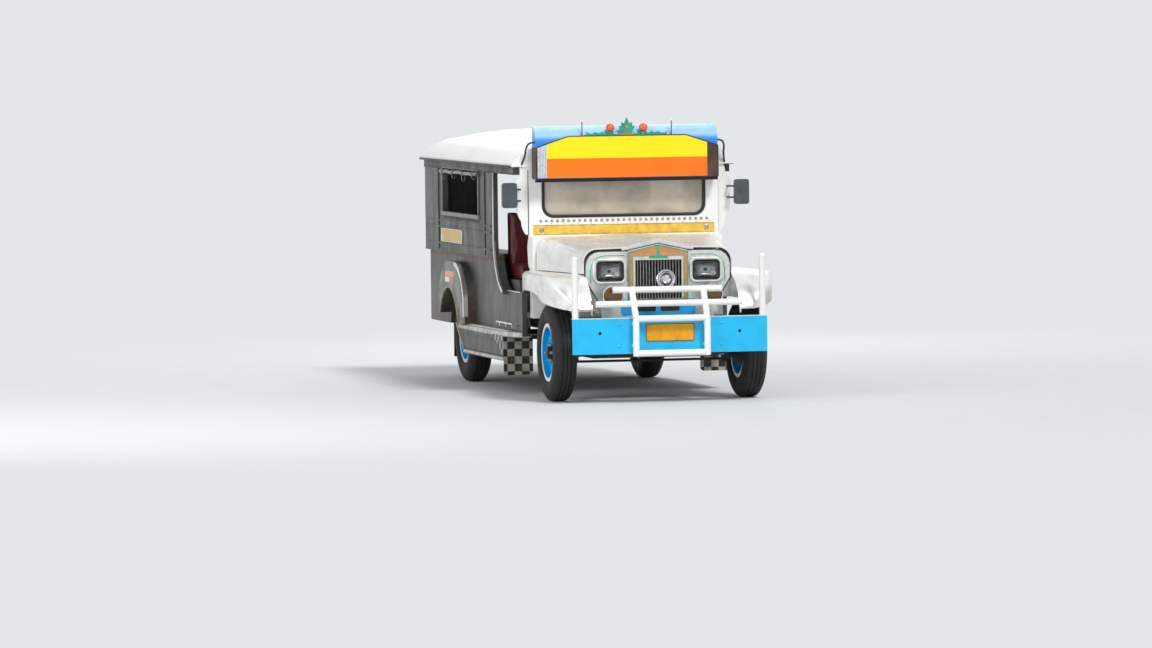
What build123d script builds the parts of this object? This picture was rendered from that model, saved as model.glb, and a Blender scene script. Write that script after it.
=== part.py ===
from build123d import *
import os
from math import cos, radians, sin, sqrt

# A short jeepney of sixteen seats: a ladder frame on leaf springs, a sheet metal body with
# open windows and doorways, and a nose like a small war-time truck. Millimetres, +Z up, with
# the wheels on Z = 0. The front faces -Y and the driver sits on the +X side.

# Main lengths, all along Y
wheelbase = 3350
guard_reach = 725            # front axle to the front of the guard's tubes
body_tail = 1250             # rear axle to the back of the body
step_reach = 250             # rear step, behind the body
overall_length = guard_reach + wheelbase + body_tail + step_reach
front_axle_y = -overall_length / 2 + guard_reach
rear_axle_y = front_axle_y + wheelbase
body_rear_y = rear_axle_y + body_tail
step_rear_y = body_rear_y + step_reach

# Wheels and steering
front_track = 1530
rear_track = 1470
tyre_radius = 385
tyre_width = 190
bead_radius = 205
hub_bore_radius = 22.5
spindle_radius = 22
spindle_end = 30             # past the wheel's middle plane
wheel_x = front_track / 2
rear_wheel_x = rear_track / 2
kingpin_x = 620
kingpin_radius = 13
pin_clearance = 0.5
boss_radius = 32
boss_height = 90
kingpin_reach = 40
steer_arm = 160

# Ladder frame
rail_x = 380
rail_flange = 60
rail_height = 120
rail_wall = 6
rail_bottom_z = 500
rail_top_z = rail_bottom_z + rail_height
rail_outer_x = rail_x + rail_flange / 2
cross_height = 90
cross_width = 60
cross_bottom_z = rail_bottom_z + (rail_height - cross_height) / 2
cross_top_z = cross_bottom_z + cross_height
spring_width = 60
leaf_thickness = 9
leaf_count = 4

# Body across X and up Z
side_x = 840                 # outside of the lower side panels
side_wall = 40
belt_x = 880                 # outside of the band under the windows
belt_bottom_z = 1070
belt_top_z = 1400
panel_bottom_z = 470
door_sill_z = 820
window_top_z = 1760
floor_thickness = 40
floor_top_z = rail_top_z + floor_thickness
inner_x = side_x - side_wall
body_front_y = front_axle_y + 930
door_rear_y = front_axle_y + 1820
firewall_y = front_axle_y + 810
sheet = 12                   # pressed panels with their stiffening

# Roof
roof_seat_z = 1825           # underside of the roof's edge, on top of the walls
roof_edge_x = 910
roof_edge_z = roof_seat_z + 25
roof_seat_x = 835
roof_rise = 220              # crown over the edge
roof_top_z = roof_edge_z + roof_rise
roof_skin = 25
roof_rear_y = body_rear_y + 45
roof_tail = 520              # how far forward the roof's rounded tail reaches

# Nose
face_y = front_axle_y - 240
face_thickness = 40
face_half_width = 585
face_top_z = 1180
face_low_half_width = 475
face_apex_z = 1232
grille_half_width = 190
grille_bottom_z = 800
grille_top_z = 1110
lamp_x = 387
lamp_z = 1022
lamp_width = 212
lamp_height = 150
hood_front_y = face_y + 6
hood_rear_y = front_axle_y + 790
hood_bottom_z = 1006
fender_top_z = 1000
fender_half_width = 920
fender_rear_half_width = 862
apron_x = rail_outer_x

# Front bumper and guard
bumper_front_y = front_axle_y - 640
bumper_depth = 55
bumper_half_width = 780
bumper_bottom_z = 390
bumper_top_z = 672
bumper_wall = 8
tube_radius = 25


def at_y(y):
    """Sketch plane across the vehicle: sketch x is X, sketch y is Z, and extrude(-d) runs rearwards."""
    return Plane.XZ.offset(-y)


def block(x, y, z, mode=Mode.ADD):
    """A box given by its low and high place along each axis."""
    with Locations(((x[0] + x[1]) / 2, (y[0] + y[1]) / 2, (z[0] + z[1]) / 2)):
        Box(x[1] - x[0], y[1] - y[0], z[1] - z[0], mode=mode)


def rod(start, end, radius, mode=Mode.ADD):
    """A round bar from one point to another."""
    way = Vector(*end) - Vector(*start)
    with BuildSketch(Plane(origin=start, z_dir=way)) as disc:
        Circle(radius)
    extrude(disc.sketch, amount=way.length, mode=mode)


def save(name, piece):
    piece.part.label = name
    export_step(piece.part, f"parts/{name}.step")


# Ladder frame: two channels with their open sides inwards, and cross members welded between
# the webs. Those under the radiator, the engine and the gearbox carry them.
rail_front_y = bumper_front_y + bumper_wall
radiator_cross_y = front_axle_y - 130
engine_cross_y = front_axle_y + 300
gearbox_cross_y = front_axle_y + 1225
cross_places = [
    radiator_cross_y,
    engine_cross_y,
    gearbox_cross_y,
    rear_axle_y - 700,
    rear_axle_y + 620,
    body_rear_y - 90,
]
with BuildPart() as chassis_frame:
    with BuildSketch(at_y(rail_front_y)):
        with Locations((rail_x, rail_bottom_z + rail_height / 2)):
            Rectangle(rail_flange, rail_height)
        with Locations((rail_x - rail_wall, rail_bottom_z + rail_height / 2)):
            Rectangle(rail_flange, rail_height - 2 * rail_wall, mode=Mode.SUBTRACT)
    extrude(amount=rail_front_y - body_rear_y)
    mirror(about=Plane.YZ)
    for place in cross_places:
        with BuildSketch(Plane.YZ.offset(-rail_x)):
            with Locations((place, cross_bottom_z + cross_height / 2)):
                Rectangle(cross_width, cross_height)
            with Locations((place, cross_bottom_z + cross_height / 2 - rail_wall)):
                Rectangle(cross_width - 2 * rail_wall, cross_height, mode=Mode.SUBTRACT)
        extrude(amount=2 * rail_x)
    for place in cross_places:
        for side in (-1, 1):
            gusset = sorted((side * (rail_x - rail_flange / 2), side * (rail_outer_x - 1)))
            block(
                gusset,
                (place - cross_width, place + cross_width),
                (rail_bottom_z + rail_wall, rail_bottom_z + 3 * rail_wall),
            )
save("chassis_frame", chassis_frame)

# Front axle: a dropped I-beam with a boss and kingpin at each end, and pads for the springs.
beam_depth = 50
beam_low_z = tyre_radius - 55
beam_high_z = tyre_radius + 15
beam_pocket = 16
boss_overlap = 6
seat_half = 55               # half the length of the spring seats
with BuildPart() as front_axle:
    beam_outline = [
        (0, beam_low_z),
        (kingpin_x - 140, beam_low_z),
        (kingpin_x - 60, tyre_radius - boss_height / 2 + boss_overlap),
        (kingpin_x - 10, tyre_radius - boss_height / 2 + boss_overlap),
        (kingpin_x - 10, tyre_radius + boss_height / 2 - boss_overlap),
        (kingpin_x - 60, tyre_radius + boss_height / 2 - boss_overlap),
        (kingpin_x - 140, beam_high_z),
        (0, beam_high_z),
    ]
    with BuildSketch(at_y(front_axle_y - beam_depth / 2)):
        with BuildLine():
            Polyline(*beam_outline, close=True)
        make_face()
        mirror(about=Plane.YZ)
    extrude(amount=-beam_depth)
    pocket_half = kingpin_x - 160
    for side in (-1, 1):
        pocket_y = front_axle_y + side * (beam_depth - beam_pocket) / 2
        block(
            (-pocket_half, pocket_half),
            (pocket_y - beam_pocket / 2, pocket_y + beam_pocket / 2),
            (beam_low_z + 14, beam_high_z - 14),
            mode=Mode.SUBTRACT,
        )
    with Locations((kingpin_x, front_axle_y, tyre_radius), (-kingpin_x, front_axle_y, tyre_radius)):
        Cylinder(boss_radius, boss_height)
        Cylinder(kingpin_radius, boss_height + 2 * kingpin_reach)
save("front_axle", front_axle)

# Rear axle: a tube with a banjo casing turned about its pinion, and a spindle in each wheel.
axle_tube_radius = 38
diff_radius = 145
diff_ring_half = 45          # half the depth of the casing's ring
diff_cover_reach = 110       # domed cover behind the axle
diff_plug_radius = 18
diff_nose_reach = 200
diff_nose_radius = 52
plate_offset = 84            # inside face of the brake plates from the wheel's middle
plate_thickness = 6
plate_radius = 146
plate_x = rear_wheel_x - plate_offset
rear_seat_z = tyre_radius + axle_tube_radius
with BuildPart() as rear_axle:
    rod((-plate_x, rear_axle_y, tyre_radius), (plate_x, rear_axle_y, tyre_radius), axle_tube_radius)
    with BuildSketch(Plane.XY.offset(tyre_radius)):
        with BuildLine():
            front = Polyline(
                (0, rear_axle_y - diff_nose_reach),
                (diff_nose_radius, rear_axle_y - diff_nose_reach),
                (diff_nose_radius + 12, rear_axle_y - 2 * diff_ring_half),
                (diff_radius, rear_axle_y - diff_ring_half),
                (diff_radius, rear_axle_y + diff_ring_half),
            )
            cover = ThreePointArc(
                front @ 1,
                (diff_radius * 0.64, rear_axle_y + diff_cover_reach * 0.79),
                (diff_plug_radius, rear_axle_y + diff_cover_reach),
            )
            Polyline(cover @ 1, (0, rear_axle_y + diff_cover_reach), front @ 0)
        make_face()
    revolve(axis=Axis((0, rear_axle_y, tyre_radius), (0, 1, 0)))
    for side in (-1, 1):
        inner = (side * plate_x, rear_axle_y, tyre_radius)
        outer = (side * (plate_x + plate_thickness), rear_axle_y, tyre_radius)
        tip = (side * (rear_wheel_x + spindle_end), rear_axle_y, tyre_radius)
        rod(inner, outer, plate_radius)
        rod(inner, tip, spindle_radius)
        pad = sorted((side * (rail_x - spring_width / 2), side * (rail_x + spring_width / 2)))
        block(pad, (rear_axle_y - seat_half, rear_axle_y + seat_half), (tyre_radius, rear_seat_z))
save("rear_axle", rear_axle)

# Leaf springs: bowed leaves clamped on the axle seats, hung from shackles under the rails.
spring_table = [             # axle place, seat height, half the span
    (front_axle_y, beam_high_z, 450),
    (rear_axle_y, rear_seat_z, 560),
]
shackle_length = 60
leaf_step = 0.22             # each leaf is shorter than the one above by this share
with BuildPart() as leaf_springs:
    for axle_y, seat_z, half_span in spring_table:
        pack_top = seat_z + leaf_count * leaf_thickness
        rise = rail_bottom_z - leaf_thickness - pack_top
        bend_radius = (half_span**2 + rise**2) / (2 * rise)
        middle_z = pack_top + bend_radius
        for leaf in range(leaf_count):
            reach = half_span * (1 - leaf * leaf_step)
            with BuildSketch(Plane.YZ.offset(rail_x - spring_width / 2)):
                with Locations((axle_y, middle_z)):
                    Circle(bend_radius + (leaf + 1) * leaf_thickness)
                    Circle(bend_radius + leaf * leaf_thickness, mode=Mode.SUBTRACT)
                with Locations((axle_y, pack_top)):
                    Rectangle(2 * reach, 250, mode=Mode.INTERSECT)
            extrude(amount=spring_width)
        block(
            (rail_x - spring_width / 2, rail_x + spring_width / 2),
            (axle_y - seat_half, axle_y + seat_half),
            (seat_z, pack_top + 8),
        )
        for end in (-1, 1):
            end_y = axle_y + end * (half_span - shackle_length / 2)
            block(
                (rail_x - spring_width / 2, rail_x + spring_width / 2),
                (end_y - shackle_length / 2, end_y + shackle_length / 2),
                (rail_bottom_z - 2 * leaf_thickness, rail_bottom_z),
            )
    mirror(about=Plane.YZ)
save("leaf_springs", leaf_springs)

# Engine with its bell housing and gearbox, as one plain stepped block on its cross members.
engine_half_width = 250
engine_top_z = 1080
gearbox_bottom_z = 440
gearbox_rear_y = gearbox_cross_y - cross_width / 2
bell_rear_y = firewall_y - 25
with BuildPart() as engine_block:
    block(
        (-engine_half_width, engine_half_width),
        (front_axle_y - 20, front_axle_y + 600),
        (cross_top_z, engine_top_z),
    )
    block((-190, 190), (front_axle_y + 600, bell_rear_y), (gearbox_bottom_z, 850))
    block((-120, 120), (bell_rear_y, gearbox_rear_y), (gearbox_bottom_z, cross_top_z))
save("engine_block", engine_block)

# Radiator core between its two tanks, standing on the first cross member.
radiator_half_width = 245
radiator_depth = 50
tank_height = 55
tank_lip = 5
with BuildPart() as radiator:
    core_y = (radiator_cross_y - radiator_depth / 2, radiator_cross_y + radiator_depth / 2)
    tank_y = (core_y[0] - tank_lip, core_y[1] + tank_lip)
    width = (-radiator_half_width, radiator_half_width)
    block(width, core_y, (cross_top_z, grille_top_z))
    block(width, tank_y, (cross_top_z, cross_top_z + tank_height))
    block(width, tank_y, (grille_top_z, grille_top_z + tank_height))
save("radiator", radiator)

# Propeller shaft from the gearbox down to the nose of the rear axle.
shaft_radius = 32
yoke_radius = 46
yoke_length = 90
shaft_front_z = cross_bottom_z - 50
with BuildPart() as propshaft:
    shaft_front_y = gearbox_rear_y
    shaft_rear_y = rear_axle_y - diff_nose_reach
    rod((0, shaft_front_y - 20, shaft_front_z), (0, shaft_rear_y + 20, tyre_radius), shaft_radius)
    rod((0, shaft_front_y, shaft_front_z), (0, shaft_front_y + yoke_length, shaft_front_z), yoke_radius)
    rod((0, shaft_rear_y, tyre_radius), (0, shaft_rear_y - yoke_length, tyre_radius), yoke_radius)
    trim = 100
    block(
        (-trim, trim),
        (shaft_front_y - trim, shaft_front_y),
        (shaft_front_z - trim, shaft_front_z + trim),
        mode=Mode.SUBTRACT,
    )
    block(
        (-trim, trim),
        (shaft_rear_y, shaft_rear_y + trim),
        (tyre_radius - trim, tyre_radius + trim),
        mode=Mode.SUBTRACT,
    )
save("propshaft", propshaft)

# Exhaust: down from the engine's right side, through a muffler and on over the rear axle.
exhaust_offset = 40          # pipe's centre from the engine's side
exhaust_x = -(engine_half_width + exhaust_offset)
exhaust_z = 470
exhaust_port_z = 720
exhaust_radius = 20
exhaust_bend = exhaust_offset * 0.875
muffler_radius = 70
muffler_length = 520
with BuildPart() as exhaust:
    exhaust_start_y = front_axle_y + 430
    with BuildLine() as exhaust_path:
        FilletPolyline(
            (-engine_half_width, exhaust_start_y, exhaust_port_z),
            (exhaust_x, exhaust_start_y, exhaust_port_z),
            (exhaust_x, exhaust_start_y, exhaust_z),
            (exhaust_x, body_rear_y + 20, exhaust_z),
            radius=exhaust_bend,
        )
    with BuildSketch(Plane((-engine_half_width, exhaust_start_y, exhaust_port_z), z_dir=(-1, 0, 0))):
        Circle(exhaust_radius)
    sweep(path=exhaust_path.wire())
    muffler_front_y = gearbox_cross_y + 120
    rod(
        (exhaust_x + 10, muffler_front_y, exhaust_z - 45),
        (exhaust_x + 10, muffler_front_y + muffler_length, exhaust_z - 45),
        muffler_radius,
    )
    for place in cross_places[2:]:
        block((exhaust_x - 8, exhaust_x + 8), (place - 15, place + 15), (exhaust_z, cross_bottom_z))
save("exhaust", exhaust)

# Fuel tank, strapped to the outside of the left rail.
tank_front_y = front_axle_y + 1500
tank_rear_y = tank_front_y + 700
tank_outer_x = 690
with BuildPart() as fuel_tank:
    block((rail_outer_x, tank_outer_x), (tank_front_y, tank_rear_y), (300, 590))
    fillet(fuel_tank.edges().filter_by(Axis.Y), radius=45)
save("fuel_tank", fuel_tank)

# Floor: a flat tray on the rails, cut away above the rear wheels.
arch_half = 440
well_x = rear_wheel_x - tyre_width / 2 - 40
with BuildPart() as floor_pan:
    block((-inner_x, inner_x), (body_front_y, body_rear_y - side_wall), (rail_top_z, floor_top_z))
    for side in (-1, 1):
        span = sorted((side * well_x, side * (inner_x + 1)))
        block(
            span,
            (rear_axle_y - arch_half, rear_axle_y + arch_half),
            (rail_top_z - 1, floor_top_z + 1),
            mode=Mode.SUBTRACT,
        )
save("floor_pan", floor_pan)

# Cowl: firewall, side walls and top, with the dashboard and the steering column's socket.
cowl_gap = 25                # cowl's side wall inside the body's side panel
cowl_half_width = inner_x - cowl_gap
cowl_top_z = 1268
cowl_rear_y = body_front_y + 40
toe_space = 200              # side walls cut away over the sill behind the body's front
dash_reach = 100
dash_height = 240
hinge_radius = 7
hinge_z = cowl_top_z - 10
hinge_y = hood_rear_y + 10
hinge_places = (-450, 450)
hinge_half = 45
hinge_gap = 3
driver_x = 400
column_reach = 360           # steering wheel's centre behind the cowl
wheel_centre = (driver_x, cowl_rear_y + column_reach, cowl_top_z + 17)
column_foot = (driver_x, cowl_rear_y + 45, cowl_top_z - 138)
column_radius = 22
with BuildPart() as cowl:
    block((-cowl_half_width, cowl_half_width), (firewall_y, cowl_rear_y), (rail_top_z, cowl_top_z))
    block(
        (-cowl_half_width + sheet, cowl_half_width - sheet),
        (firewall_y + sheet, cowl_rear_y + 1),
        (rail_top_z + floor_thickness, cowl_top_z - sheet),
        mode=Mode.SUBTRACT,
    )
    block(
        (-cowl_half_width - 1, cowl_half_width + 1),
        (body_front_y, cowl_rear_y + 1),
        (rail_top_z - 1, door_sill_z + toe_space),
        mode=Mode.SUBTRACT,
    )
    with BuildSketch(Plane.YZ.offset(-cowl_half_width + sheet)):
        with BuildLine():
            Polyline(
                (cowl_rear_y - 30, cowl_top_z - 1),
                (cowl_rear_y + dash_reach * 0.7, cowl_top_z - 25),
                (cowl_rear_y + dash_reach, cowl_top_z - 90),
                (cowl_rear_y + dash_reach * 0.7, cowl_top_z - dash_height + 10),
                (cowl_rear_y - 30, cowl_top_z - dash_height),
                close=True,
            )
        make_face()
    extrude(amount=2 * (cowl_half_width - sheet))
    rod(column_foot, wheel_centre, column_radius + 0.3, mode=Mode.SUBTRACT)
    for place in hinge_places:
        for end in (-1, 1):
            ear = sorted((place + end * (hinge_half + hinge_gap), place + end * (hinge_half + 15)))
            block(ear, (hinge_y - 4, firewall_y + 2), (hinge_z - 9, hinge_z + 9))
        rod(
            (place - hinge_half - 14, hinge_y, hinge_z),
            (place + hinge_half + 14, hinge_y, hinge_z),
            hinge_radius / 2,
        )
save("cowl", cowl)

# Steering column and wheel. They stay still, since only the road wheels' steering is jointed.
column_way = Vector(*wheel_centre) - Vector(*column_foot)
steering_radius = 205
with BuildPart() as steering_wheel:
    rod(column_foot, wheel_centre, column_radius)
    wheel_plane = Plane(origin=wheel_centre, z_dir=column_way)
    with Locations(wheel_plane.location):
        Torus(steering_radius, 13)
    with BuildSketch(wheel_plane.offset(-10)):
        Circle(48)
        with PolarLocations(0, 3, start_angle=90):
            with Locations((steering_radius / 2, 0)):
                Rectangle(steering_radius, 26)
    extrude(amount=14)
save("steering_wheel", steering_wheel)

# Face: the radiator shell's front, cut for the grille, the lamps and two slots below.
face_corner = 115
slot_z = 728
with BuildPart() as face_panel:
    with BuildSketch(at_y(face_y)):
        with BuildLine():
            low = Polyline(
                (0, rail_top_z),
                (face_low_half_width - 35, rail_top_z),
                (face_low_half_width, 775),
                (face_half_width, 960),
                (face_half_width, face_top_z - face_corner),
            )
            bend = RadiusArc(
                low @ 1,
                (face_half_width - face_corner, face_top_z),
                -face_corner,
            )
            Polyline(
                bend @ 1,
                (grille_half_width + 50, face_top_z),
                (0, face_apex_z),
                (0, rail_top_z),
            )
        make_face()
        mirror(about=Plane.YZ)
        with Locations((0, (grille_bottom_z + grille_top_z) / 2)):
            Rectangle(2 * grille_half_width, grille_top_z - grille_bottom_z, mode=Mode.SUBTRACT)
        with Locations((-95, slot_z), (95, slot_z)):
            RectangleRounded(150, 50, 12, mode=Mode.SUBTRACT)
        with Locations((-lamp_x, lamp_z), (lamp_x, lamp_z)):
            RectangleRounded(lamp_width, lamp_height, 30, mode=Mode.SUBTRACT)
    extrude(amount=-face_thickness)
    for side in (-1, 1):
        foot = sorted((side * (rail_x - rail_flange / 2), side * rail_outer_x))
        block(foot, (face_y, face_y + face_thickness), (rail_top_z, rail_top_z + 60))
save("face_panel", face_panel)

# Grille: a raised surround with a pointed top, and upright bars inside the opening.
surround_width = 45
surround_depth = 22
bar_count = 15
bar_width = 7
bar_depth = 16
with BuildPart() as grille:
    outer_half = grille_half_width + surround_width
    grille_middle_z = (grille_bottom_z + grille_top_z) / 2
    with BuildSketch(at_y(face_y - surround_depth)):
        with BuildLine():
            Polyline(
                (-outer_half, grille_bottom_z - 10),
                (outer_half, grille_bottom_z - 10),
                (outer_half, face_top_z - 12),
                (0, face_apex_z - 8),
                (-outer_half, face_top_z - 12),
                close=True,
            )
        make_face()
        with Locations((0, grille_middle_z)):
            Rectangle(2 * grille_half_width - 8, grille_top_z - grille_bottom_z - 8, mode=Mode.SUBTRACT)
    extrude(amount=-surround_depth)
    pitch = 2 * grille_half_width / (bar_count + 1)
    with BuildSketch(at_y(face_y - bar_depth)):
        with Locations((0, grille_middle_z)):
            with GridLocations(pitch, 1, bar_count, 1):
                Rectangle(bar_width, grille_top_z - grille_bottom_z - 7)
    extrude(amount=-bar_depth)
save("grille", grille)

# Headlamps: rounded oblong sealed units, each in a bezel that stands on the face.
bezel_width = 272
bezel_height = 196
bezel_depth = 18
with BuildPart() as headlamps:
    with BuildSketch(at_y(face_y - bezel_depth)):
        with Locations((lamp_x, lamp_z)):
            RectangleRounded(bezel_width, bezel_height, 48)
            RectangleRounded(lamp_width - 14, lamp_height - 14, 26, mode=Mode.SUBTRACT)
    extrude(amount=-bezel_depth)
    with BuildSketch(at_y(face_y - 6)):
        with Locations((lamp_x, lamp_z)):
            RectangleRounded(lamp_width - 1, lamp_height - 1, 29.5)
    extrude(amount=-face_thickness)
    mirror(about=Plane.YZ)
save("headlamps", headlamps)

# Hood: one pressing from the face to the cowl, with a ridge that runs out to the rear.
def hood_section(y, half_width, top_z, shoulder_z, peak_half, inset):
    """Section of the hood across Y, moved in by inset."""
    corner = 115
    with BuildSketch(at_y(y)) as section:
        with BuildLine():
            side_line = Line(
                (half_width - inset, hood_bottom_z - (inset and 1)),
                (half_width - inset, shoulder_z - corner),
            )
            bend = RadiusArc(
                side_line @ 1,
                (half_width - corner, shoulder_z - inset),
                -(corner - inset),
            )
            Polyline(
                bend @ 1,
                (peak_half, shoulder_z - inset + 6),
                (0, top_z - inset),
                (0, hood_bottom_z - (inset and 1)),
                side_line @ 0,
            )
        make_face()
        mirror(about=Plane.YZ)
    return section.sketch


hood_table = [               # place, half width, ridge height, shoulder height, half width of ridge
    (hood_front_y, 604, 1276, 1205, 240),
    (hood_rear_y, 748, 1286, 1262, 300),
]
with BuildPart() as hood:
    outside = [hood_section(*row, 0) for row in hood_table]
    loft(outside, ruled=True)
    inside = [hood_section(*row, sheet) for row in hood_table]
    loft(inside, ruled=True, mode=Mode.SUBTRACT)
    for place in hinge_places:
        block(
            (place - hinge_half, place + hinge_half),
            (hinge_y - 30, hinge_y),
            (hinge_z - 5, hinge_z + 5),
        )
        rod((place - hinge_half, hinge_y, hinge_z), (place + hinge_half, hinge_y, hinge_z), hinge_radius)
        rod(
            (place - hinge_half - 1, hinge_y, hinge_z),
            (place + hinge_half + 1, hinge_y, hinge_z),
            hinge_radius / 2 + 0.3,
            mode=Mode.SUBTRACT,
        )
save("hood", hood)

# Front fenders: flat on top with a rolled shoulder, turned down over the nose. The skirt's edge
# hangs level beside the cab and sweeps down in an S over the wheel, and an apron closes the
# inside.
fender_rear_y = firewall_y
nose_y = front_axle_y - 520
nose_bottom_z = 690
nose_inner_x = face_half_width + 5
nose_outer_x = 700           # where the skirt's bow meets the nose
roll_y = front_axle_y - 120
fender_shoulder = 42
skirt_rear_z = 836
skirt_crest_z = 862
skirt_crest_y = front_axle_y + 175
skirt_low_z = 786
skirt_low_y = front_axle_y - 235
apron_low_z = 805
steer_relief = 85            # apron cut away from here out, for the steered tyre


def fender_form(inset):
    """Outer volume of the left front fender, or the hollow in it when moved in by inset."""
    past = inset and 1
    with BuildPart() as form:
        with BuildSketch(Plane.YZ.offset(apron_x - past)):
            with BuildLine():
                top = Line((fender_rear_y + past, fender_top_z - inset), (roll_y, fender_top_z - inset))
                roll = ThreePointArc(
                    top @ 1,
                    (front_axle_y - 415 + inset * 0.7, fender_top_z - 105 - inset * 0.7),
                    (nose_y + inset, fender_top_z - 260),
                )
                Polyline(
                    roll @ 1,
                    (nose_y + inset, nose_bottom_z - past),
                    (fender_rear_y + past, nose_bottom_z - past),
                    top @ 0,
                )
            make_face()
        extrude(amount=fender_half_width)
        with BuildSketch(Plane.XY):
            with BuildLine():
                inner = Polyline(
                    (apron_x + inset, fender_rear_y + past),
                    (apron_x + inset, face_y + face_thickness + inset),
                    (nose_inner_x + inset, face_y + face_thickness + inset),
                    (nose_inner_x + inset, nose_y - 1),
                    (nose_outer_x - inset, nose_y - 1),
                )
                bow = ThreePointArc(
                    inner @ 1,
                    (fender_half_width - 52 - inset * 0.8, front_axle_y - 370 + inset * 0.6),
                    (fender_half_width - inset, front_axle_y - 60),
                )
                Polyline(
                    bow @ 1,
                    (fender_half_width - inset, front_axle_y + 420),
                    (fender_rear_half_width - inset, fender_rear_y + past),
                    inner @ 0,
                )
            make_face()
        extrude(amount=fender_top_z + 1, mode=Mode.INTERSECT)
        shoulder = [
            edge
            for edge in form.edges()
            if edge.center().X > nose_outer_x and edge.center().Z > fender_top_z - 160 - inset
            and edge.center().Y < fender_rear_y and abs(edge.tangent_at(0.5).Z) < 0.9
        ]
        fillet(shoulder, radius=fender_shoulder - inset)
    return form.part


with BuildPart() as front_fenders:
    add(fender_form(0))
    add(fender_form(sheet), mode=Mode.SUBTRACT)
    with BuildSketch(Plane.YZ.offset(nose_inner_x + sheet)):
        with BuildLine():
            level = ThreePointArc(
                (fender_rear_y + 1, skirt_rear_z),
                (fender_rear_y - 200, skirt_crest_z - 6),
                (skirt_crest_y, skirt_crest_z),
            )
            hump = ThreePointArc(
                level @ 1,
                (front_axle_y, (skirt_crest_z + skirt_low_z) / 2 + 14),
                (skirt_low_y, skirt_low_z),
            )
            Polyline(
                hump @ 1,
                (nose_y - 1, nose_bottom_z + 30),
                (nose_y - 1, nose_bottom_z - 1),
                (fender_rear_y + 1, nose_bottom_z - 1),
                level @ 0,
            )
        make_face()
    extrude(amount=fender_half_width, mode=Mode.SUBTRACT)
    block(
        (apron_x + steer_relief, nose_inner_x + sheet),
        (nose_y + sheet, face_y + face_thickness + sheet),
        (nose_bottom_z - 1, apron_low_z),
        mode=Mode.SUBTRACT,
    )
    mirror(about=Plane.YZ)
save("front_fenders", front_fenders)

# Knuckles: a fork round the axle's boss, a backing plate, the spindle and the steering arm.
fork_thickness = 22
fork_gap = 3
fork_radius = 30
fork_x = kingpin_x + boss_radius + 8
knuckle_plate_x = wheel_x - 70
arm_pin_radius = 9
arm_thickness = 16
arm_y = front_axle_y + steer_arm
with BuildPart() as knuckle_left:
    fork_low = tyre_radius - boss_height / 2 - fork_gap - fork_thickness
    fork_high = tyre_radius + boss_height / 2 + fork_gap
    for low in (fork_low, fork_high):
        with Locations((kingpin_x, front_axle_y, low + fork_thickness / 2)):
            Cylinder(fork_radius, fork_thickness)
        block(
            (kingpin_x, knuckle_plate_x),
            (front_axle_y - fork_radius, front_axle_y + fork_radius),
            (low, low + fork_thickness),
        )
    block(
        (fork_x, knuckle_plate_x),
        (front_axle_y - fork_radius, front_axle_y + fork_radius),
        (fork_low, fork_high + fork_thickness),
    )
    with Locations((kingpin_x, front_axle_y, tyre_radius)):
        Cylinder(kingpin_radius + pin_clearance, boss_height * 3, mode=Mode.SUBTRACT)
    rod(
        (knuckle_plate_x, front_axle_y, tyre_radius),
        (knuckle_plate_x + plate_thickness, front_axle_y, tyre_radius),
        plate_radius,
    )
    rod(
        (knuckle_plate_x, front_axle_y, tyre_radius),
        (wheel_x + spindle_end, front_axle_y, tyre_radius),
        spindle_radius,
    )
    with BuildSketch(Plane.XY.offset(fork_low)):
        with BuildLine():
            Polyline(
                (kingpin_x - 15, arm_y),
                (kingpin_x + 15, arm_y),
                (kingpin_x + 26, front_axle_y),
                (kingpin_x - 26, front_axle_y),
                close=True,
            )
        make_face()
        with Locations((kingpin_x, arm_y)):
            Circle(22)
        with Locations((kingpin_x, front_axle_y)):
            Circle(kingpin_radius + pin_clearance, mode=Mode.SUBTRACT)
    extrude(amount=arm_thickness)
    with Locations((kingpin_x, arm_y, fork_low - 12)):
        Cylinder(arm_pin_radius, 24 + 2 * arm_thickness - 8)
save("knuckle_left", knuckle_left)
with BuildPart() as knuckle_right:
    mirror(knuckle_left.part, about=Plane.YZ)
save("knuckle_right", knuckle_right)

# Tie rod: a bar with an eye round each steering arm's pin, under the arms.
eye_radius = 21
eye_thickness = 24
tie_rod_radius = 10
eye_top_z = fork_low - 3
with BuildPart() as tie_rod:
    eye_z = eye_top_z - eye_thickness / 2
    rod((-kingpin_x + 15, arm_y, eye_z), (kingpin_x - 15, arm_y, eye_z), tie_rod_radius)
    with Locations((kingpin_x, arm_y, eye_z), (-kingpin_x, arm_y, eye_z)):
        Cylinder(eye_radius, eye_thickness)
        Cylinder(arm_pin_radius + pin_clearance, 2 * eye_thickness, mode=Mode.SUBTRACT)
save("tie_rod", tie_rod)

# Wheels: a tyre by its half section turned about X, and a pressed rim with its hub.
tyre_half = tyre_width / 2
bead_half = 66
bead_top = 234               # radius where the sidewall leaves the rim's flange
hand_holes = 5
hand_hole_radius = 19
hand_hole_circle = 138
disc_x = 22                  # outer face of the wheel disc from the wheel's middle
hub_half_length = 62


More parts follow.
